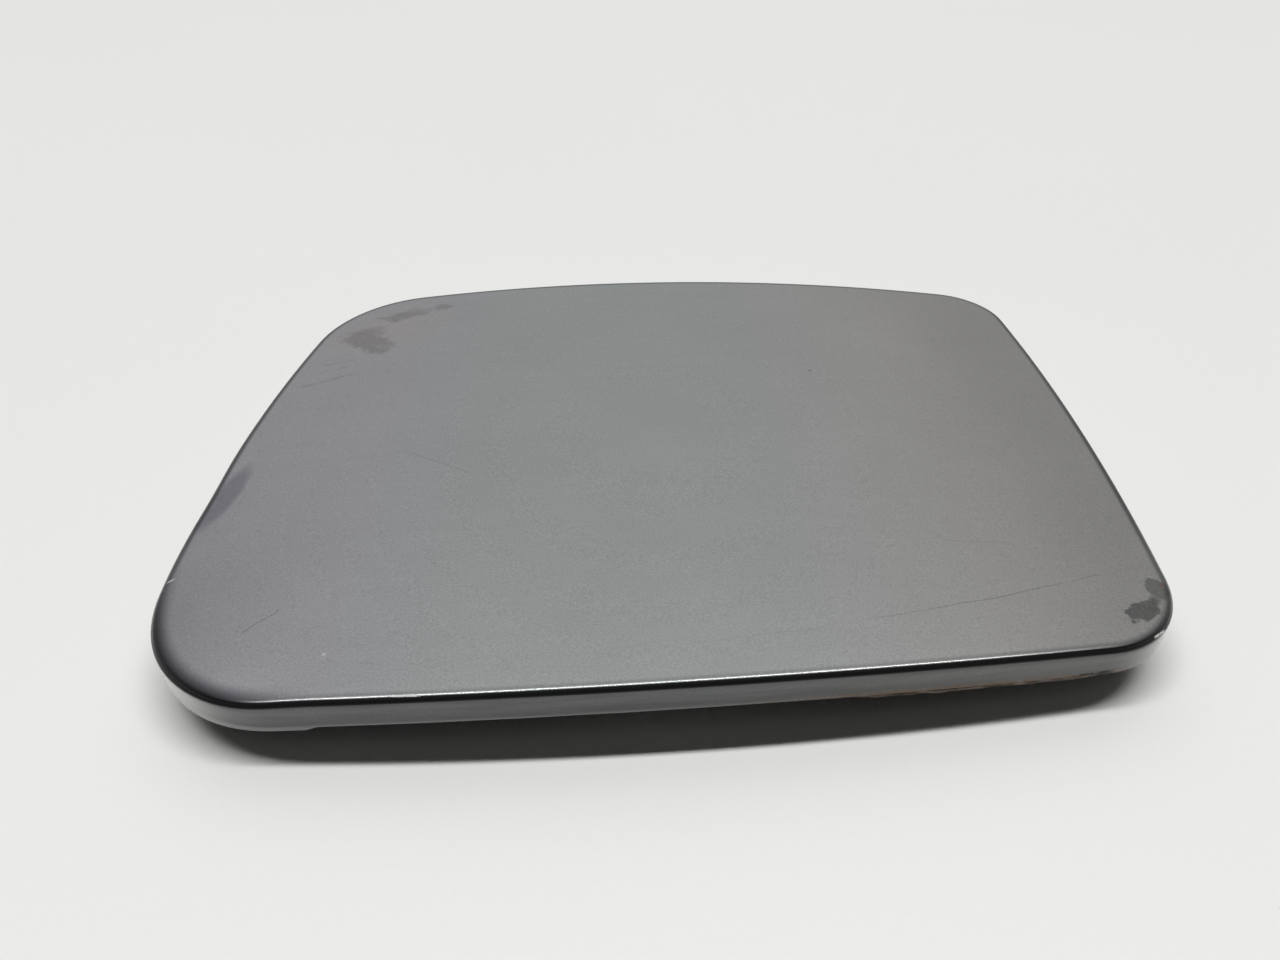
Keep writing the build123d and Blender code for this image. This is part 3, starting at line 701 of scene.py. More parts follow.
def skin_paint():
    """Dark grey metallic paint under lacquer, dull on top and glossy round the edge, with its marks, and
    with painted shade, reflections and glints.
    """
    material, place = new_finish("metallic_paint")
    flat = on_flap(place)
    x, y = split(flat)[:2]
    fall = place.node("Attribute", {"attribute_name": "fall"}, output=2) / MM
    inset = place.node("Attribute", {"attribute_name": "inset"}, output=2) / MM
    fleck = grain(flat, 3.4, 1.0)
    cloud = grain(flat, 0.04, 2.0)
    smear = streaks(flat, 0.5, (0.03, 0.35, 0.2), 3.0)
    hair = streaks(flat, -0.35, (0.02, 1.6, 0.3), 2.0)
    dusty = streaks(flat, 0, (0.06, 0.06, 0.8), 3.0)
    peel = grain(flat, 0.42, 2.0)
    ragged = (grain(flat, 0.55, 4.0, 0.6) - 0.5) * 2.4
    lumpy = (grain(flat, 0.2, 5.0, 0.6) - 0.5) * 4.0
    crumbs = grain(flat, 1.6, 3.0, 0.6)
    front_stain, back_stain, film, dent_shade_and_crazing = stain_masks(x, y, lumpy, ragged, crumbs, cloud, smear)
    lines, runs = scratch_masks(x, y, flat, crumbs)
    specks = (blotch(x, y, DARK_SPECK) - blotch(x, y, PALE_SPECK)) * SPECK_DARK
    nick_and_glints = nick_and_glint_mask(x, y, fall, ragged, crumbs)
    dirt, dark_patch = dirt_masks(x, y, fall, crumbs)

    # Painted shade round the edge: a dark band on the rounding below the highlight, a thin dark line along
    # the edge, and deeper shade on the front corners' roundings, standing for the dark room mirrored there
    left_tip = rise(round_corner(x, y, 0, FRONT_LEFT_ROUND), 0.45, 0.9)
    right_tip = rise(round_corner(x, y, CELLS_ACROSS, FRONT_RIGHT_ROUND), 0.4, 0.9)
    left_shade = left_tip * fade(inset, *LEFT_SHADE_INSET) * 0.92
    right_shade = right_tip * fade(inset, *RIGHT_SHADE_INSET) * 0.75
    behind = rise(y, *BEHIND_COMES)
    edge_shade_line = fade(inset, *EDGE_SHADE_LINE_INSET) * (0.4 + behind * 0.3)
    wall = rise(fall, *WALL_FALL)
    painted_band_shade = most(rise(fall, *BAND_FALL), left_shade, right_shade, edge_shade_line) * (1 - wall)
    # Painted shade on the flange wall, deeper lower down and less at the lip, standing for the shadowed
    # table mirrored there; the dust over it is the wall's own
    wall_shade = WALL_SHADE_DARK + rise(fall, *LOW_FALL) * WALL_SHADE_DEEPER_LOW - rise(fall, *LIP_FALL) * LIP_PALER
    wall_dust = rise(dusty, 0.4, 0.7) * 0.09 + crumbs * 0.04
    edge_shade_and_dust = 1 - painted_band_shade * BAND_SHADE_DARK - wall * (wall_shade + wall_dust)
    flakes = 1 + (fleck - 0.5) * 0.65 + (cloud - 0.5) * 0.12 + (smear - 0.5) * 0.06 + (hair - 0.5) * 0.04
    # Painted shade over the top towards the front left corner
    corner = fade(x, *CORNER_CLEARS_X) * fade(y, *CORNER_CLEARS_Y)
    # Painted light and shade: the top a little lighter towards the back and darker towards the right edge
    drift = (0.93 + rise(y, *BACK_LIGHTENS) * 0.02) * (1 - rise(x, *RIGHT_DIMS) * RIGHT_PAINTED_SHADE)
    stained = (1 - front_stain * FRONT_STAIN_DARK) * (1 - back_stain * BACK_STAIN_DARK)
    stained = stained * (1 - runs * STREAK_DARK) * (1 - dent_shade_and_crazing * DENT_SHADE_DARK)
    scratched = (1 - lines * SCRATCH_DARK) * (1 - specks)
    tone = edge_shade_and_dust * flakes * drift * (1 - corner * CORNER_PAINTED_SHADE) * stained * scratched

    # Painted reflection: the flange wall is paled at its two front ends as if it mirrored the lit table
    left_end_reflection = wall * fade(x, *LEFT_END_GOES_X) * fade(y, *LEFT_END_GOES_Y)
    right_end_reflection = wall * rise(x, *RIGHT_END_COMES_X) * fade(y, *RIGHT_END_GOES_Y)
    # Painted tint of the room's light, drifting across the flap over the paint's own grey
    colour = tint(rise(x, *MIDDLE_COMES), LEFT_PAINT_AND_ROOM_TINT, MIDDLE_PAINT_AND_ROOM_TINT)
    colour = tint(rise(x, *RIGHT_COMES), colour, RIGHT_PAINT_AND_ROOM_TINT)
    colour = tint(film * 0.6, colour, RUSTY_FILM)
    # Violet painted shade over the dent
    colour = tint(dent_shade_and_crazing * 0.7, colour, DENT_SHADE_TINT)
    colour = tint(left_shade * (1 - wall), colour, CORNER_SHADE_TINT)
    colour = toned(colour, tone)
    # Painted reflections at the flange's two ends
    colour = tint(left_end_reflection, colour, LEFT_END_PAINTED_REFLECTION)
    colour = tint(right_end_reflection, colour, RIGHT_END_PAINTED_REFLECTION)
    colour = tint(blotch(x, y, RUST_SPECK, ragged * 0.3) * 0.6, colour, SPECK_RUST)
    # Primer in the nick, and painted glints on the rim
    colour = tint(nick_and_glints, colour, PRIMER_AND_GLINT_WHITE)
    colour = tint(dirt, colour, FLANGE_DIRT)
    colour = tint(dark_patch, colour, LOW_PATCH_BLACK)

    stains_and_dent = most(front_stain, back_stain, dent_shade_and_crazing)
    dull = most(dirt, nick_and_glints, dark_patch)
    satin = rise(inset, *SATIN_INSET)
    bare = most(rise(fall, *BARE_FALL) * (1 - wall), edge_shade_line * behind)
    height = peel + (crumbs - 0.5) * dent_shade_and_crazing * 3.0 - lines * 2.0
    return feed(
        material,
        Base_Color=colour,
        Metallic=(0.85 - satin * 0.4) * (1 - dull),
        Roughness=0.35 + satin * 0.13 + (fleck - 0.5) * 0.1 + stains_and_dent * 0.12 + dull * 0.35,
        Coat_Weight=(1 - dull) * (1 - satin * 0.92) * (1 - bare * 0.85),
        Coat_Roughness=0.05,
        Normal=relief(height, 0.14, 0.00002),
    )


skin.data.materials.append(skin_paint())
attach(skin, "flap")
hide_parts("outer_skin")

# Inner panel: a thin steel tray with flat seats for the fittings and two long beads that stiffen it,
# all made in one press stroke. Its lip is bonded inside the skin's flange, it has two round drains for
# the paint bath, and it got only a thin dull coat of the colour.
INNER_SHEET = 0.0007
INNER_INSET = 0.0009
INNER_ROUND = 0.0013
INNER_ROUND_STEPS = 4
WEB_DEPTH = 0.0032
LIP_DEPTH = 0.005
WEB_RINGS = (0.0064, 0.005, 0.0038, 0.003)
SEAT_PROUD = 0.0015
SEAT_CORNER = 0.004
HINGE_SEAT = ((0, 0.0451), (0.024, 0.015), SEAT_CORNER)
STRIKER_SEAT = ((0, -0.03805), (0.016, 0.013), SEAT_CORNER)
HOLDER_SEAT = ((0.042, 0), (0.015, 0.0095), SEAT_CORNER)
BUFFER_SEATS = (((-0.0624, -0.0343), (0.01, 0.01), 0.01), ((0.0624, -0.0343), (0.01, 0.01), 0.01))
BEADS = (((0, -0.015), (0.048, 0.0045), 0.0045), ((0, 0.015), (0.048, 0.0045), 0.0045))
BEAD_DEPTH = 0.0014
PRESS_SHOULDER = 0.0011
SHOULDER_INSIDE = 0.4
SHOULDER_OUTSIDE = 1.6
WEB_SLACK = MM / 50
DRAINS = ((-0.0564, 0.0423), (0.0688, 0.0423))
DRAIN_RADIUS = 0.003
DRAIN_CUT = 0.02
DRAIN_SIDES = 40
INNER_PAINT = (0.1, 0.103, 0.108, 1)
THIN_PAINT = (0.066, 0.066, 0.066, 1)
INNER_DUST = (0.2, 0.185, 0.165, 1)
DRIP_STAIN = (0.13, 0.098, 0.072, 1)


def pressed(x, y, form):
    """How far a point is inside a pressed form, from 0 outside to 1 inside, with a soft shoulder."""
    (middle_x, middle_y), (half_x, half_y), corner = form
    off_x = abs(x - middle_x) - half_x + corner
    off_y = abs(y - middle_y) - half_y + corner
    outside = math.hypot(max(off_x, 0), max(off_y, 0)) + min(max(off_x, off_y), 0) - corner
    return 1 - smooth_step(-PRESS_SHOULDER * SHOULDER_INSIDE, PRESS_SHOULDER * SHOULDER_OUTSIDE, outside)


def panel_height(x, y):
    """Height of the inner panel's upper face, with its seats and beads."""
    height = crown(x, y) - WEB_DEPTH
    for bead in BEADS:
        height -= BEAD_DEPTH * pressed(x, y, bead)
    for seat in (HINGE_SEAT, STRIKER_SEAT, HOLDER_SEAT, *BUFFER_SEATS):
        level = crown(*seat[0]) - WEB_DEPTH - SEAT_PROUD
        share = pressed(x, y, seat)
        height = height * (1 - share) + level * share
    return height


panel = crowned_grid("pressed_inner_panel", GRID_INSET, WEB_DEPTH)
for inwards in WEB_RINGS:
    draw_edge(panel, inwards, WEB_DEPTH)
draw_round(panel, INNER_INSET, WEB_DEPTH, INNER_ROUND, INNER_ROUND_STEPS)
draw_edge(panel, INNER_INSET, LIP_DEPTH)
bpy.ops.object.mode_set(mode="OBJECT")
panel.data.attributes.remove(panel.data.attributes["turn"])
add_modifier(panel, "SUBSURF", subdivision_type="SIMPLE", levels=1, render_levels=1)
for vertex in panel.data.vertices:
    x, y, z = vertex.co
    if crown(x, y) - z < WEB_DEPTH + WEB_SLACK:
        vertex.co.z = panel_height(x, y)
add_modifier(panel, "SOLIDIFY", thickness=INNER_SHEET, offset=-1, use_even_offset=True)
for x, y in DRAINS:
    bpy.ops.object.select_all(action="DESELECT")
    bpy.ops.mesh.primitive_cylinder_add(
        vertices=DRAIN_SIDES,
        radius=DRAIN_RADIUS,
        depth=DRAIN_CUT,
        location=(x, y, crown(x, y) - WEB_DEPTH),
    )
    punch = bpy.context.object
    pick(panel)
    add_modifier(panel, "BOOLEAN", object=punch, operation="DIFFERENCE", solver="EXACT")
    bpy.data.objects.remove(punch)
set_in_flap(panel)
bpy.ops.object.shade_smooth_by_angle(angle=SHEET_SMOOTH)


def inner_coat():
    """Thin dull coat of the body colour, patchy and dusty, with dried drips below the drains."""
    material, place = new_finish("inner_coat")
    flat = on_flap(place)
    y = split(flat)[1]
    fleck = grain(flat, 4.0, 1.0)
    cloud = grain(flat, 0.06, 4.0)
    thin = rise(grain(flat, 0.035, 3.0, 0.6, 0.6), 0.46, 0.64)
    dust = rise(grain(flat, 0.22, 6.0, 0.65), 0.5, 0.72)
    speck = rise(grain(flat, 1.1, 3.0, 0.6), 0.66, 0.72)
    drip = rise(streaks(flat, 0, (0.3, 0.025, 0.3), 4.0), 0.58, 0.68) * rise(cloud, 0.4, 0.6)
    near_front = fade(y, -62.0, -40.0)
    colour = tint(thin, INNER_PAINT, THIN_PAINT)
    colour = tint(dust * (0.25 + near_front * 0.3), colour, INNER_DUST)
    colour = tint(drip * 0.5, colour, DRIP_STAIN)
    colour = tint(speck * 0.5, colour, INNER_DUST)
    tone = 0.9 + (fleck - 0.5) * 0.35 + (cloud - 0.5) * 0.3
    mist = grain(flat, 1.8, 3.0, 0.6)
    return feed(
        material,
        Base_Color=toned(colour, tone),
        Metallic=0.55 - most(dust * 0.4, drip * 0.5, speck * 0.5),
        Roughness=0.46 + thin * 0.12 + dust * 0.18 + (mist - 0.5) * 0.12,
        Coat_Weight=0.25 - thin * 0.2,
        Coat_Roughness=0.25,
        Normal=relief(mist + speck * 1.5, 0.3, 0.00003),
    )


panel.data.materials.append(inner_coat())
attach(panel, "flap")
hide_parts("inner_panel")

# Mastic pads: soft black dabs that stick the skin to the inner panel so that it doesn't drum. They are
# pressed on by hand and can't be seen once the flap is closed up.
MASTIC_DARK = (0.03, 0.03, 0.03, 1)
MASTIC_GREY = (0.07, 0.068, 0.066, 1)


def mastic_dab():
    """Matt black mastic, wrinkled where it was squeezed."""
    material, place = new_finish("mastic_dab")
    fold = grain(place, 0.5, 4.0)
    return feed(
        material,
        Base_Color=tint(fold, MASTIC_DARK, MASTIC_GREY),
        Roughness=0.75 + fold * 0.2,
        Normal=relief(fold, 0.6, 0.0002),
    )


frame["nodes"]["mastic_pads"].material_slots[0].material = mastic_dab()

# Seam sealer: a bead squeezed by hand into the joint between the flange and the inner panel's lip. It is
# a dull grey-brown, uneven, and squeezed out past the flange at the front right, where dirt sticks to it.
SEALER_IN = 0.0009
SEALER_OUT = 0.0026
SEALER_TOP = LIP_DEPTH + 0.0001
SEALER_LUMP = 0.0035
LUMP_HEIGHT = 0.00013
SEALER_CRUMB = 0.0011
CRUMB_HEIGHT = 0.00007
OOZE_ROUGHER = 0.7
SQUEEZE_START = 0.012
SQUEEZE_FULL = 0.036
SQUEEZE_LAST = 0.066
SQUEEZE_END = 0.079
SQUEEZE_LINE = -0.046
SQUEEZE_FADE = 0.006
SEALER_RINGS = (
    (0.0009, 0.0009, -0.0002, -0.0002),
    (0.0009, 0.0003, 0.00015, 0.0002),
    (0.00115, 0.00015, 0.00045, 0.0008),
    (0.0017, 0.0006, 0.0006, 0.0014),
    (0.0024, 0.0019, 0.00035, 0.0012),
    (0.0027, 0.0028, -0.0002, 0.0004),
)
SEALER_WELD = MM / 1000
SEALER_SMOOTH = math.radians(60)
SEALER_GREY = (0.15, 0.142, 0.132, 1)
SEALER_LIGHT = (0.22, 0.205, 0.185, 1)
SEALER_BROWN = (0.1, 0.07, 0.05, 1)
SEALER_PALE = (0.25, 0.2, 0.16, 1)
# Black of the pits, and of the painted shade in the bead's grooves
SEALER_BLACK_AND_SHADE = (0.02, 0.017, 0.015, 1)


def squeezed(x, y):
    """How far the bead is squeezed out past the flange, from 0 to 1."""
    front = 1 - smooth_step(SQUEEZE_LINE - SQUEEZE_FADE, SQUEEZE_LINE, y)
    ending = 1 - smooth_step(SQUEEZE_LAST, SQUEEZE_END, x)
    return front * smooth_step(SQUEEZE_START, SQUEEZE_FULL, x) * ending


def sealer_ring(inside, inside_squeezed, under, under_squeezed):
    """Measures of one line along the bead: how far inwards, and how deep under the flange's bottom."""

    def inwards(index):
        share = squeezed(*edge[index][0])
        return inside * (1 - share) + inside_squeezed * share

    def depth(index):
        share = squeezed(*edge[index][0])
        return FLANGE_DEPTH + under * (1 - share) + under_squeezed * share

    return inwards, depth


bpy.ops.object.select_all(action="DESELECT")
bpy.ops.mesh.primitive_circle_add(vertices=len(edge), radius=1, location=(0, 0, 0))
sealer = bpy.context.object
sealer.name = "squeezed_sealer"
number = sealer.data.attributes.new("turn", "INT", "POINT")
for vertex in sealer.data.vertices:
    number.data[vertex.index].value = vertex.index
    vertex.select = True
lay_edge(sealer, SEALER_IN, SEALER_TOP)
bpy.ops.object.mode_set(mode="EDIT")
bpy.ops.mesh.select_all(action="SELECT")
for measures in SEALER_RINGS:
    draw_edge(sealer, *sealer_ring(*measures))
draw_edge(sealer, SEALER_OUT, SEALER_TOP)
draw_edge(sealer, SEALER_IN, SEALER_TOP)
bpy.ops.mesh.select_all(action="SELECT")
bpy.ops.mesh.remove_doubles(threshold=SEALER_WELD)
bpy.ops.mesh.normals_make_consistent(inside=False)
bpy.ops.object.mode_set(mode="OBJECT")
sealer.data.attributes.remove(sealer.data.attributes["turn"])
add_modifier(sealer, "SUBSURF", levels=2, render_levels=2)
outwards = [vertex.normal.copy() for vertex in sealer.data.vertices]
for vertex, outward in zip(sealer.data.vertices, outwards):
    ooze = squeezed(vertex.co.x, vertex.co.y)
    lump = noise.noise(vertex.co / SEALER_LUMP) * LUMP_HEIGHT
    crumb = noise.noise(vertex.co / SEALER_CRUMB) * CRUMB_HEIGHT
    vertex.co += outward * (lump + crumb) * (1 + ooze * OOZE_ROUGHER)
set_in_flap(sealer)
bpy.ops.object.shade_smooth_by_angle(angle=SEALER_SMOOTH)


def sealer_bead():
    """Rough sealer, brown with dirt at the front right, with pale dry streaks, black pits and painted shade
    in its grooves.
    """
    material, place = new_finish("sealer_bead")
    flat = on_flap(place)
    x, y = split(flat)[:2]
    lump = grain(flat, 0.3, 4.0)
    crumb = grain(flat, 1.5, 4.0, 0.65)
    streak = streaks(flat, 0.05, (0.07, 1.9, 2.6), 4.0)
    front = fade(y, -54.0, -44.0)
    dirty = front * rise(x, -15.0, 40.0) * rise(lump, 0.25, 0.5)
    colour = tint(lump, SEALER_GREY, SEALER_LIGHT)
    colour = tint(dirty, colour, SEALER_BROWN)
    colour = tint(dirty * rise(streak, 0.5, 0.62), colour, SEALER_PALE)
    pit = rise(crumb, 0.6, 0.68) * (0.3 + dirty * 0.7)
    # Painted shade: the grooves between the streaks are darkened
    groove = fade(streak, 0.36, 0.42) * dirty * 0.9
    colour = tint(most(pit, groove), colour, SEALER_BLACK_AND_SHADE)
    return feed(
        material,
        Base_Color=colour,
        Roughness=0.6 + dirty * 0.25 + (crumb - 0.5) * 0.2,
        Normal=relief(crumb + streak * 0.6, 0.7, 0.0002),
    )


sealer.data.materials.append(sealer_bead())
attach(sealer, "flap")
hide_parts("seam_sealer")

# Hinge arm: a strip of thick steel bent to a swan neck, with two eyes rolled round the pin. It is zinc
# plated, tumbled so that its edges are broken, and riveted flat to its seat on the inner panel.
ARM_BREAK = 0.00025
WELD_GAP = MM / 500
FLAT_ANGLE = math.radians(0.5)
SHARP_ANGLE = math.radians(32)
METAL_SMOOTH = math.radians(36)
ZINC_GREY = (0.46, 0.46, 0.455, 1)
ZINC_WARM = (0.6, 0.585, 0.545, 1)
ZINC_BLOOM = (0.68, 0.68, 0.66, 1)
ZINC_GRIME = (0.17, 0.155, 0.13, 1)
RUST = (0.2, 0.085, 0.04, 1)


def softened(node, name, width):
    """Copy of a solid with its edges broken by a small round."""
    source = frame["nodes"][node]
    made = bpy.data.objects.new(name, source.data.copy())
    bpy.context.scene.collection.objects.link(made)
    made.data.materials.clear()
    pick(made)
    bpy.ops.mesh.customdata_custom_splitnormals_clear()
    bpy.ops.object.mode_set(mode="EDIT")
    bpy.ops.mesh.select_all(action="SELECT")
    bpy.ops.mesh.remove_doubles(threshold=WELD_GAP)
    bpy.ops.mesh.dissolve_limited(angle_limit=FLAT_ANGLE)
    bpy.ops.object.mode_set(mode="OBJECT")
    add_modifier(made, "BEVEL", width=width, segments=2, limit_method="ANGLE", angle_limit=SHARP_ANGLE)
    bpy.ops.object.shade_smooth_by_angle(angle=METAL_SMOOTH)
    return made


def fit(node, name, width, finish):
    """Lets a softened copy with a finish stand for a solid, on that solid's body, and hides the solid."""
    piece = softened(node, name, width)
    piece.data.materials.append(finish)
    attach(piece, frame["nodes"][node]["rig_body"])
    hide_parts(node)


def zinc_plate():
    """Zinc plated steel, dulled by white bloom, with drawn lines, grime and a little rust."""
    material, place = new_finish("zinc_plate")
    cloud = grain(place, 0.16, 4.0)
    bloom = rise(grain(place, 0.42, 5.0, 0.6), 0.52, 0.72)
    lines = streaks(place, 0.06, (5.0, 0.12, 5.0), 2.0)
    dark_patch = rise(grain(place, 0.12, 4.0, 0.6), 0.5, 0.75)
    rust = rise(grain(place, 0.8, 6.0, 0.65), 0.62, 0.7) * rise(grain(place, 0.07, 2.0), 0.5, 0.62)
    colour = tint(cloud, ZINC_GREY, ZINC_WARM)
    colour = tint(bloom * 0.55, colour, ZINC_BLOOM)
    colour = tint(dark_patch * 0.55, colour, ZINC_GRIME)
    colour = tint(rust * 0.85, colour, RUST)
    return feed(
        material,
        Base_Color=toned(colour, 0.93 + lines * 0.14),
        Metallic=1 - bloom * 0.3 - most(rust * 0.9, dark_patch * 0.3),
        Roughness=0.33 + (cloud - 0.5) * 0.2 + bloom * 0.16 + most(rust, dark_patch) * 0.2,
        Normal=relief(lines + bloom * 0.5 + rust, 0.25, 0.00003),
    )


zinc = zinc_plate()
fit("hinge_arm", "swan_neck_arm", ARM_BREAK, zinc)

# Arm rivets: four bright mild steel rivets that clamp the arm to the inner panel. They are put through
# from the arm's side, where their round heads are, and closed cold and flat on the other.
RIVET_BREAK = 0.00015
STEEL_BRIGHT = (0.6, 0.6, 0.595, 1)
STEEL_DARK = (0.36, 0.355, 0.34, 1)


def bright_steel():
    """Bright steel with turning marks, fine pits and a trace of grease."""
    material, place = new_finish("bright_steel")
    rings = streaks(place, 0, (7.0, 0.35, 0.35), 2.0)
    cloud = grain(place, 0.3, 4.0)
    pits = rise(grain(place, 2.2, 4.0, 0.6), 0.62, 0.7)
    colour = tint(most(pits, rise(cloud, 0.45, 0.75) * 0.7), STEEL_BRIGHT, STEEL_DARK)
    return feed(
        material,
        Base_Color=toned(colour, 0.92 + rings * 0.16),
        Metallic=1.0,
        Roughness=0.24 + cloud * 0.16 + pits * 0.2,
        Normal=relief(rings - pits, 0.25, 0.00002),
    )


steel = bright_steel()
fit("arm_rivets", "arm_rivet_heads", RIVET_BREAK, steel)

# Latch striker and its rivets: a steel tab with a round eye that the lock pin slides into, bent up from
# strip, zinc plated and held by two rivets on its seat.
fit("latch_striker", "latch_tab", ARM_BREAK, zinc)
fit("striker_rivets", "latch_rivet_heads", RIVET_BREAK, steel)

# Buffers: two stops moulded in black rubber, which keep the closed flap from rattling on the body. Each
# has a barbed stem that is pushed into a hole in the inner panel.
BUFFER_BREAK = 0.0005
RUBBER_BLACK = (0.022, 0.022, 0.023, 1)
RUBBER_BLOOM = (0.09, 0.088, 0.084, 1)


def black_rubber():
    """Matt black rubber, greyed by age and dust."""
    material, place = new_finish("black_rubber")
    dust = rise(grain(place, 0.35, 5.0, 0.6), 0.42, 0.7)
    pores = grain(place, 3.0, 3.0, 0.6)
    return feed(
        material,
        Base_Color=tint(dust * 0.55 + rise(pores, 0.6, 0.75) * 0.2, RUBBER_BLACK, RUBBER_BLOOM),
        Roughness=0.7 + dust * 0.18,
        Normal=relief(pores, 0.4, 0.00004),
    )


rubber = black_rubber()
for side in ("left", "right"):
    fit("buffer_" + side, "rubber_stop_" + side, BUFFER_BREAK, rubber)

# Cap holder: two springy prongs on a plate, moulded in black plastic, that grip the filler cap while
# filling. Its two pegs snap into the inner panel.
HOLDER_BREAK = 0.0003
PLASTIC_BLACK = (0.026, 0.026, 0.027, 1)
PLASTIC_SCUFF = (0.1, 0.1, 0.1, 1)


def grained_plastic():
    """Black moulded plastic with a fine eroded grain, scuffed where the cap slides."""
    material, place = new_finish("grained_plastic")
    cells = place.node("TexVoronoi", {}, Vector=place, Scale=3.2)
    mottle = grain(place, 0.5, 4.0)
    scuff = rise(streaks(place, 0.1, (2.4, 0.3, 0.6), 4.0), 0.6, 0.72)
    return feed(
        material,
        Base_Color=tint(scuff * 0.5 + mottle * 0.12, PLASTIC_BLACK, PLASTIC_SCUFF),
        Roughness=0.42 + (mottle - 0.5) * 0.15 + scuff * 0.12,
        Normal=relief(cells, 0.45, 0.00004),
    )


fit("cap_holder", "cap_prongs", HOLDER_BREAK, grained_plastic())

# Hinge base: a bracket stamped from sheet steel with two ears bent up for the pin and two holes for the
# screws that hold it in the filler pocket. It is zinc plated like the arm.
fit("hinge_base", "bolt_on_bracket", ARM_BREAK, zinc)

# Bushes: two flanged rings turned from white nylon, in which the pin runs quietly and without grease.
# They are pressed into the bracket's ears from the inside.
BUSH_BREAK = 0.0002
NYLON_WHITE = (0.74, 0.72, 0.66, 1)
NYLON_AGED = (0.58, 0.52, 0.4, 1)


def turned_nylon():
    """Off-white nylon, yellowed in patches, with faint turning marks."""
    material, place = new_finish("turned_nylon")
    age = rise(grain(place, 0.4, 4.0), 0.4, 0.75)
    marks = streaks(place, 0, (9.0, 0.5, 0.5), 1.0)
    return feed(
        material,
        Base_Color=tint(age * 0.7, NYLON_WHITE, NYLON_AGED),
        Roughness=0.42 + age * 0.15,
        Normal=relief(marks, 0.2, 0.00002),
    )


nylon = turned_nylon()
for side in ("left", "right"):
    fit("bush_" + side, "nylon_bush_" + side, BUSH_BREAK, nylon)

# Hinge pin: a headed pin turned from bright steel that the arm's eyes swing on. It is pushed through both
# bushes and has a groove for its clip at its other end.
fit("hinge_pin", "headed_pin", RIVET_BREAK, steel)

# Pin clip and hinge spring: an open clip punched from spring steel that snaps into the pin's groove, and
# a spring wound from dark drawn wire, with one leg on the base and the other on the arm.
CLIP_BREAK = 0.0001
WIRE_DARK = (0.12, 0.12, 0.125, 1)
WIRE_WORN = (0.34, 0.33, 0.32, 1)


def drawn_wire():
    """Dark oiled spring steel, drawn along its length and worn brighter in patches."""
    material, place = new_finish("drawn_wire")
    cloud = grain(place, 0.6, 4.0)
    lines = streaks(place, 0, (0.6, 5.0, 5.0), 2.0)
    rust = rise(grain(place, 1.1, 5.0, 0.65), 0.62, 0.7)
    colour = tint(rise(cloud, 0.4, 0.7) * 0.6, WIRE_DARK, WIRE_WORN)
    colour = tint(rust * 0.6, colour, RUST)
    return feed(
        material,
        Base_Color=colour,
        Metallic=1 - rust * 0.7,
        Roughness=0.3 + cloud * 0.2 + rust * 0.2,
        Normal=relief(lines, 0.2, 0.00002),
    )


wire = drawn_wire()
fit("pin_clip", "snap_clip", CLIP_BREAK, wire)
spring = softened("hinge_spring", "wound_spring", CLIP_BREAK)
spring.data.materials.append(wire)
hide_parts("hinge_spring")
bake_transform(spring)

# Table: a pale matt board that the flap lies on, turned up far away into a wall all round. The wall is a
# backdrop only: it is seen, and mirrored in the lacquer, but sends no light back onto the table.
TABLE_RADIUS = 2.6
TABLE_MIDDLE = (0, -0.09, 0)
TABLE_SIDES = 96
COVE_STEPS = ((0.04, 1.05), (0.1, 1.04), (0.16, 1.02))
WALL_FROM, WALL_FULL = 5.0, 60.0
WALL_HELD_BACK = 0.92
TABLE_SMOOTH = math.radians(60)
TABLE_PALE = (0.836, 0.842, 0.822)
bpy.ops.object.select_all(action="DESELECT")
bpy.ops.mesh.primitive_circle_add(
    vertices=TABLE_SIDES, radius=TABLE_RADIUS, fill_type="NGON", location=TABLE_MIDDLE
)
table = bpy.context.object
table.name = "table"
bpy.ops.object.mode_set(mode="EDIT")
bpy.ops.mesh.select_all(action="SELECT")
bpy.ops.mesh.region_to_loop()
for height, spread in COVE_STEPS:
    bpy.ops.mesh.extrude_edges_move(TRANSFORM_OT_translate={"value": (0, 0, height)})
    bpy.ops.transform.resize(value=(spread, spread, 1), center_override=TABLE_MIDDLE)
bpy.ops.object.mode_set(mode="OBJECT")
bpy.ops.object.transform_apply(location=True, rotation=True, scale=True)
bpy.ops.object.shade_smooth_by_angle(angle=TABLE_SMOOTH)


def seen(thread):
    """Is 1 for a ray from the camera, off a gloss or through glass, and 0 for light between surfaces."""
    camera_ray = thread.node("LightPath", {}, output=0)
    rays = camera_ray.socket.node.outputs
    glossy = Thread(thread.tree, rays["Is Glossy Ray"])
    through = Thread(thread.tree, rays["Is Transmission Ray"])
    return most(camera_ray, glossy, through)


def table_board():
    """Pale laminate with a faint drift of tone and fine specks."""
    material, place = new_finish("pale_laminate")
    drift = grain(place, 0.003, 3.0)
    grit = grain(place, 0.9, 2.0)
    speck = rise(grain(place, 0.28, 3.0, 0.6), 0.74, 0.78)
    tone = 0.98 + drift * 0.04 + (grit - 0.5) * 0.03 - speck * 0.12
    height = split(place)[2]
    tone = tone * (1 - rise(height, WALL_FROM, WALL_FULL) * (1 - seen(place)) * WALL_HELD_BACK)
    return feed(material, Base_Color=toned(TABLE_PALE, tone), Roughness=0.55)


table.data.materials.append(table_board())

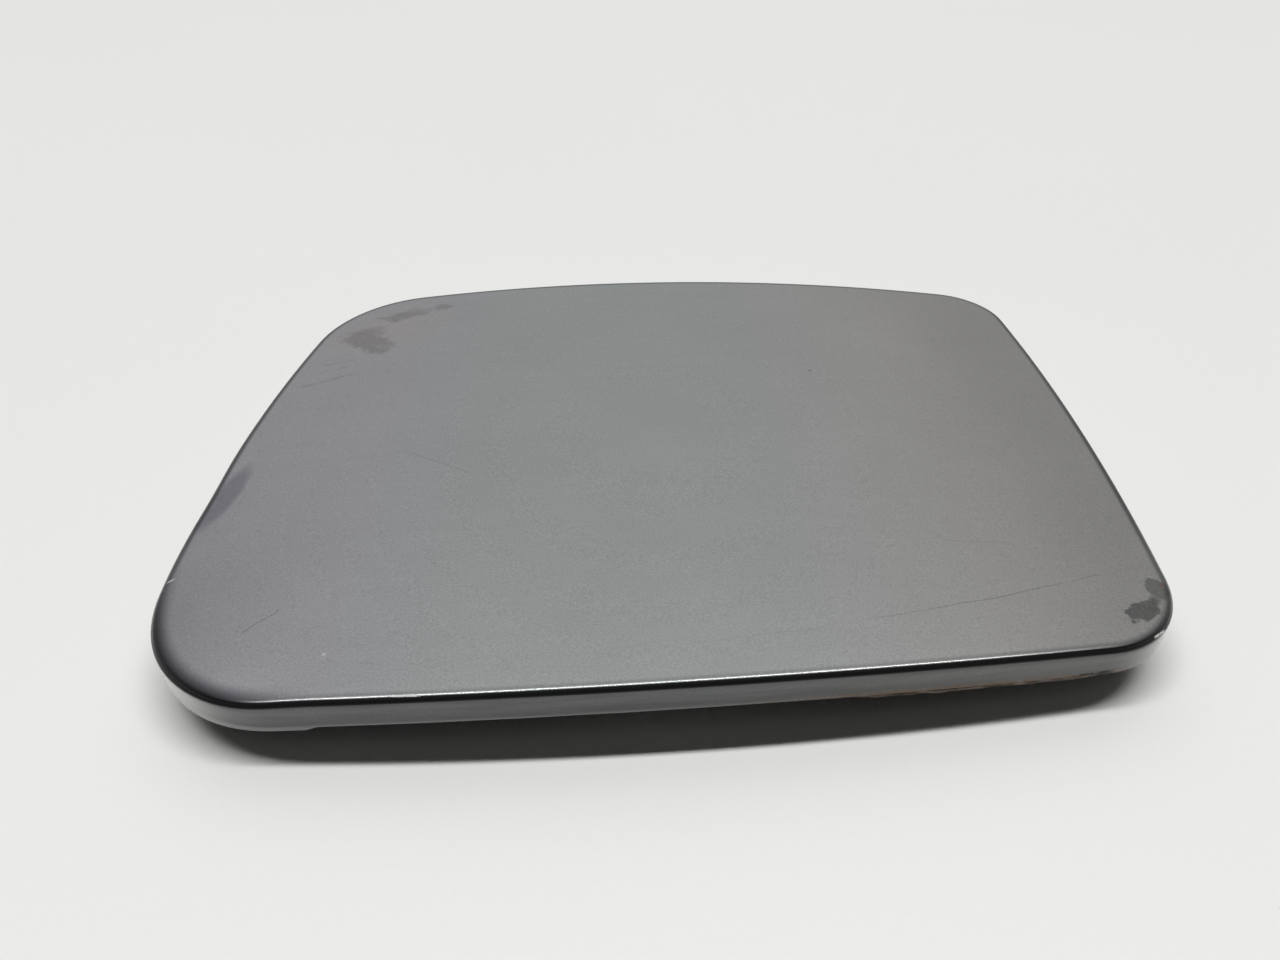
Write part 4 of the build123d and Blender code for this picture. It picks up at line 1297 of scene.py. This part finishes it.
# Studio light: a long strip overhead and slightly behind, a broad soft panel high behind the table, a
# weak fill high in front, and an otherwise dim room, whose pale horizon is only seen or mirrored.
STRIP_LIGHT = 36.5
STRIP_HALF_WIDTH = 0.034
STRIP_BACK = math.radians(3)
STRIP_TURN = math.radians(2.8)
STRIP_SOFT = 0.2
STRIP_ENDS = (0.8, 0.93)
PANEL_LIGHT = 0.82
PANEL_SIDE = 0.01
PANEL_SIDES_GO = (0.3, 0.85)
PANEL_COMES_BACK = (0.05, 0.4)
PANEL_COMES_UP = (0.15, 0.8)
PANEL_GOES_UP = (0.93, 0.99)
FILL_LIGHT = 0.16
FILL_GOES_BACK = (-0.4, -0.1)
FILL_COMES_UP = (0.58, 0.72)
FILL_GOES_UP = (0.93, 0.98)
HORIZON_LIGHT = 0.34
HORIZON_GOES_UP = (0.32, 0.74)
BACKDROP_LIGHT = 0.46
ROOM_LIGHT = 0.004
world = bpy.data.worlds.new("studio")
bpy.context.scene.world = world
world.use_nodes = True
heading = Thread(world.node_tree).node("TexCoord", {}, output=0)
side, ahead, up = split(heading)
strip_normal = Vector((-math.sin(STRIP_TURN), math.cos(STRIP_TURN), -math.tan(STRIP_BACK))).normalized()
off_strip = heading.node("VectorMath", {"operation": "DOT_PRODUCT"}, heading, strip_normal)
strip_edge = (STRIP_HALF_WIDTH * (1 - STRIP_SOFT), STRIP_HALF_WIDTH * (1 + STRIP_SOFT))
strip = fade(off_strip.math("ABSOLUTE"), *strip_edge) * rise(up, *STRIP_ENDS)
beside = (side - PANEL_SIDE).math("ABSOLUTE")
panel_rows = rise(up, *PANEL_COMES_UP) * fade(up, *PANEL_GOES_UP)
panel_light = rise(ahead, *PANEL_COMES_BACK) * fade(beside, *PANEL_SIDES_GO) * panel_rows
fill = fade(ahead, *FILL_GOES_BACK) * rise(up, *FILL_COMES_UP) * fade(up, *FILL_GOES_UP)
horizon = fade(up, *HORIZON_GOES_UP) * seen(heading)
backdrop = horizon * heading.node("LightPath", {}, output=0)
strength = ROOM_LIGHT + horizon * HORIZON_LIGHT + backdrop * BACKDROP_LIGHT
strength = strength + panel_light * PANEL_LIGHT + strip * STRIP_LIGHT + fill * FILL_LIGHT
background = world.node_tree.nodes["Background"]
background.inputs["Color"].default_value = (1, 1, 1, 1)
world.node_tree.links.new(strength.socket, background.inputs["Strength"])

# Camera: a short lens held in front of the latch edge and above it, looking down at the flap. Its place
# and turn, in metres and degrees, come from a fit of the flap's outline.
CAMERA_PLACE = (-0.00663, -0.26198, 0.12699)
CAMERA_TURN = (54.2426, 0.3338, -1.3759)
LENS = 27
SENSOR = 36
NEAREST = 0.01
bpy.ops.object.select_all(action="DESELECT")
bpy.ops.object.camera_add(location=CAMERA_PLACE, rotation=[math.radians(angle) for angle in CAMERA_TURN])
camera = bpy.context.object
camera.data.sensor_width = SENSOR
camera.data.lens = LENS
camera.data.clip_start = NEAREST
bpy.context.scene.camera = camera
bpy.context.scene.view_settings.view_transform = "Standard"
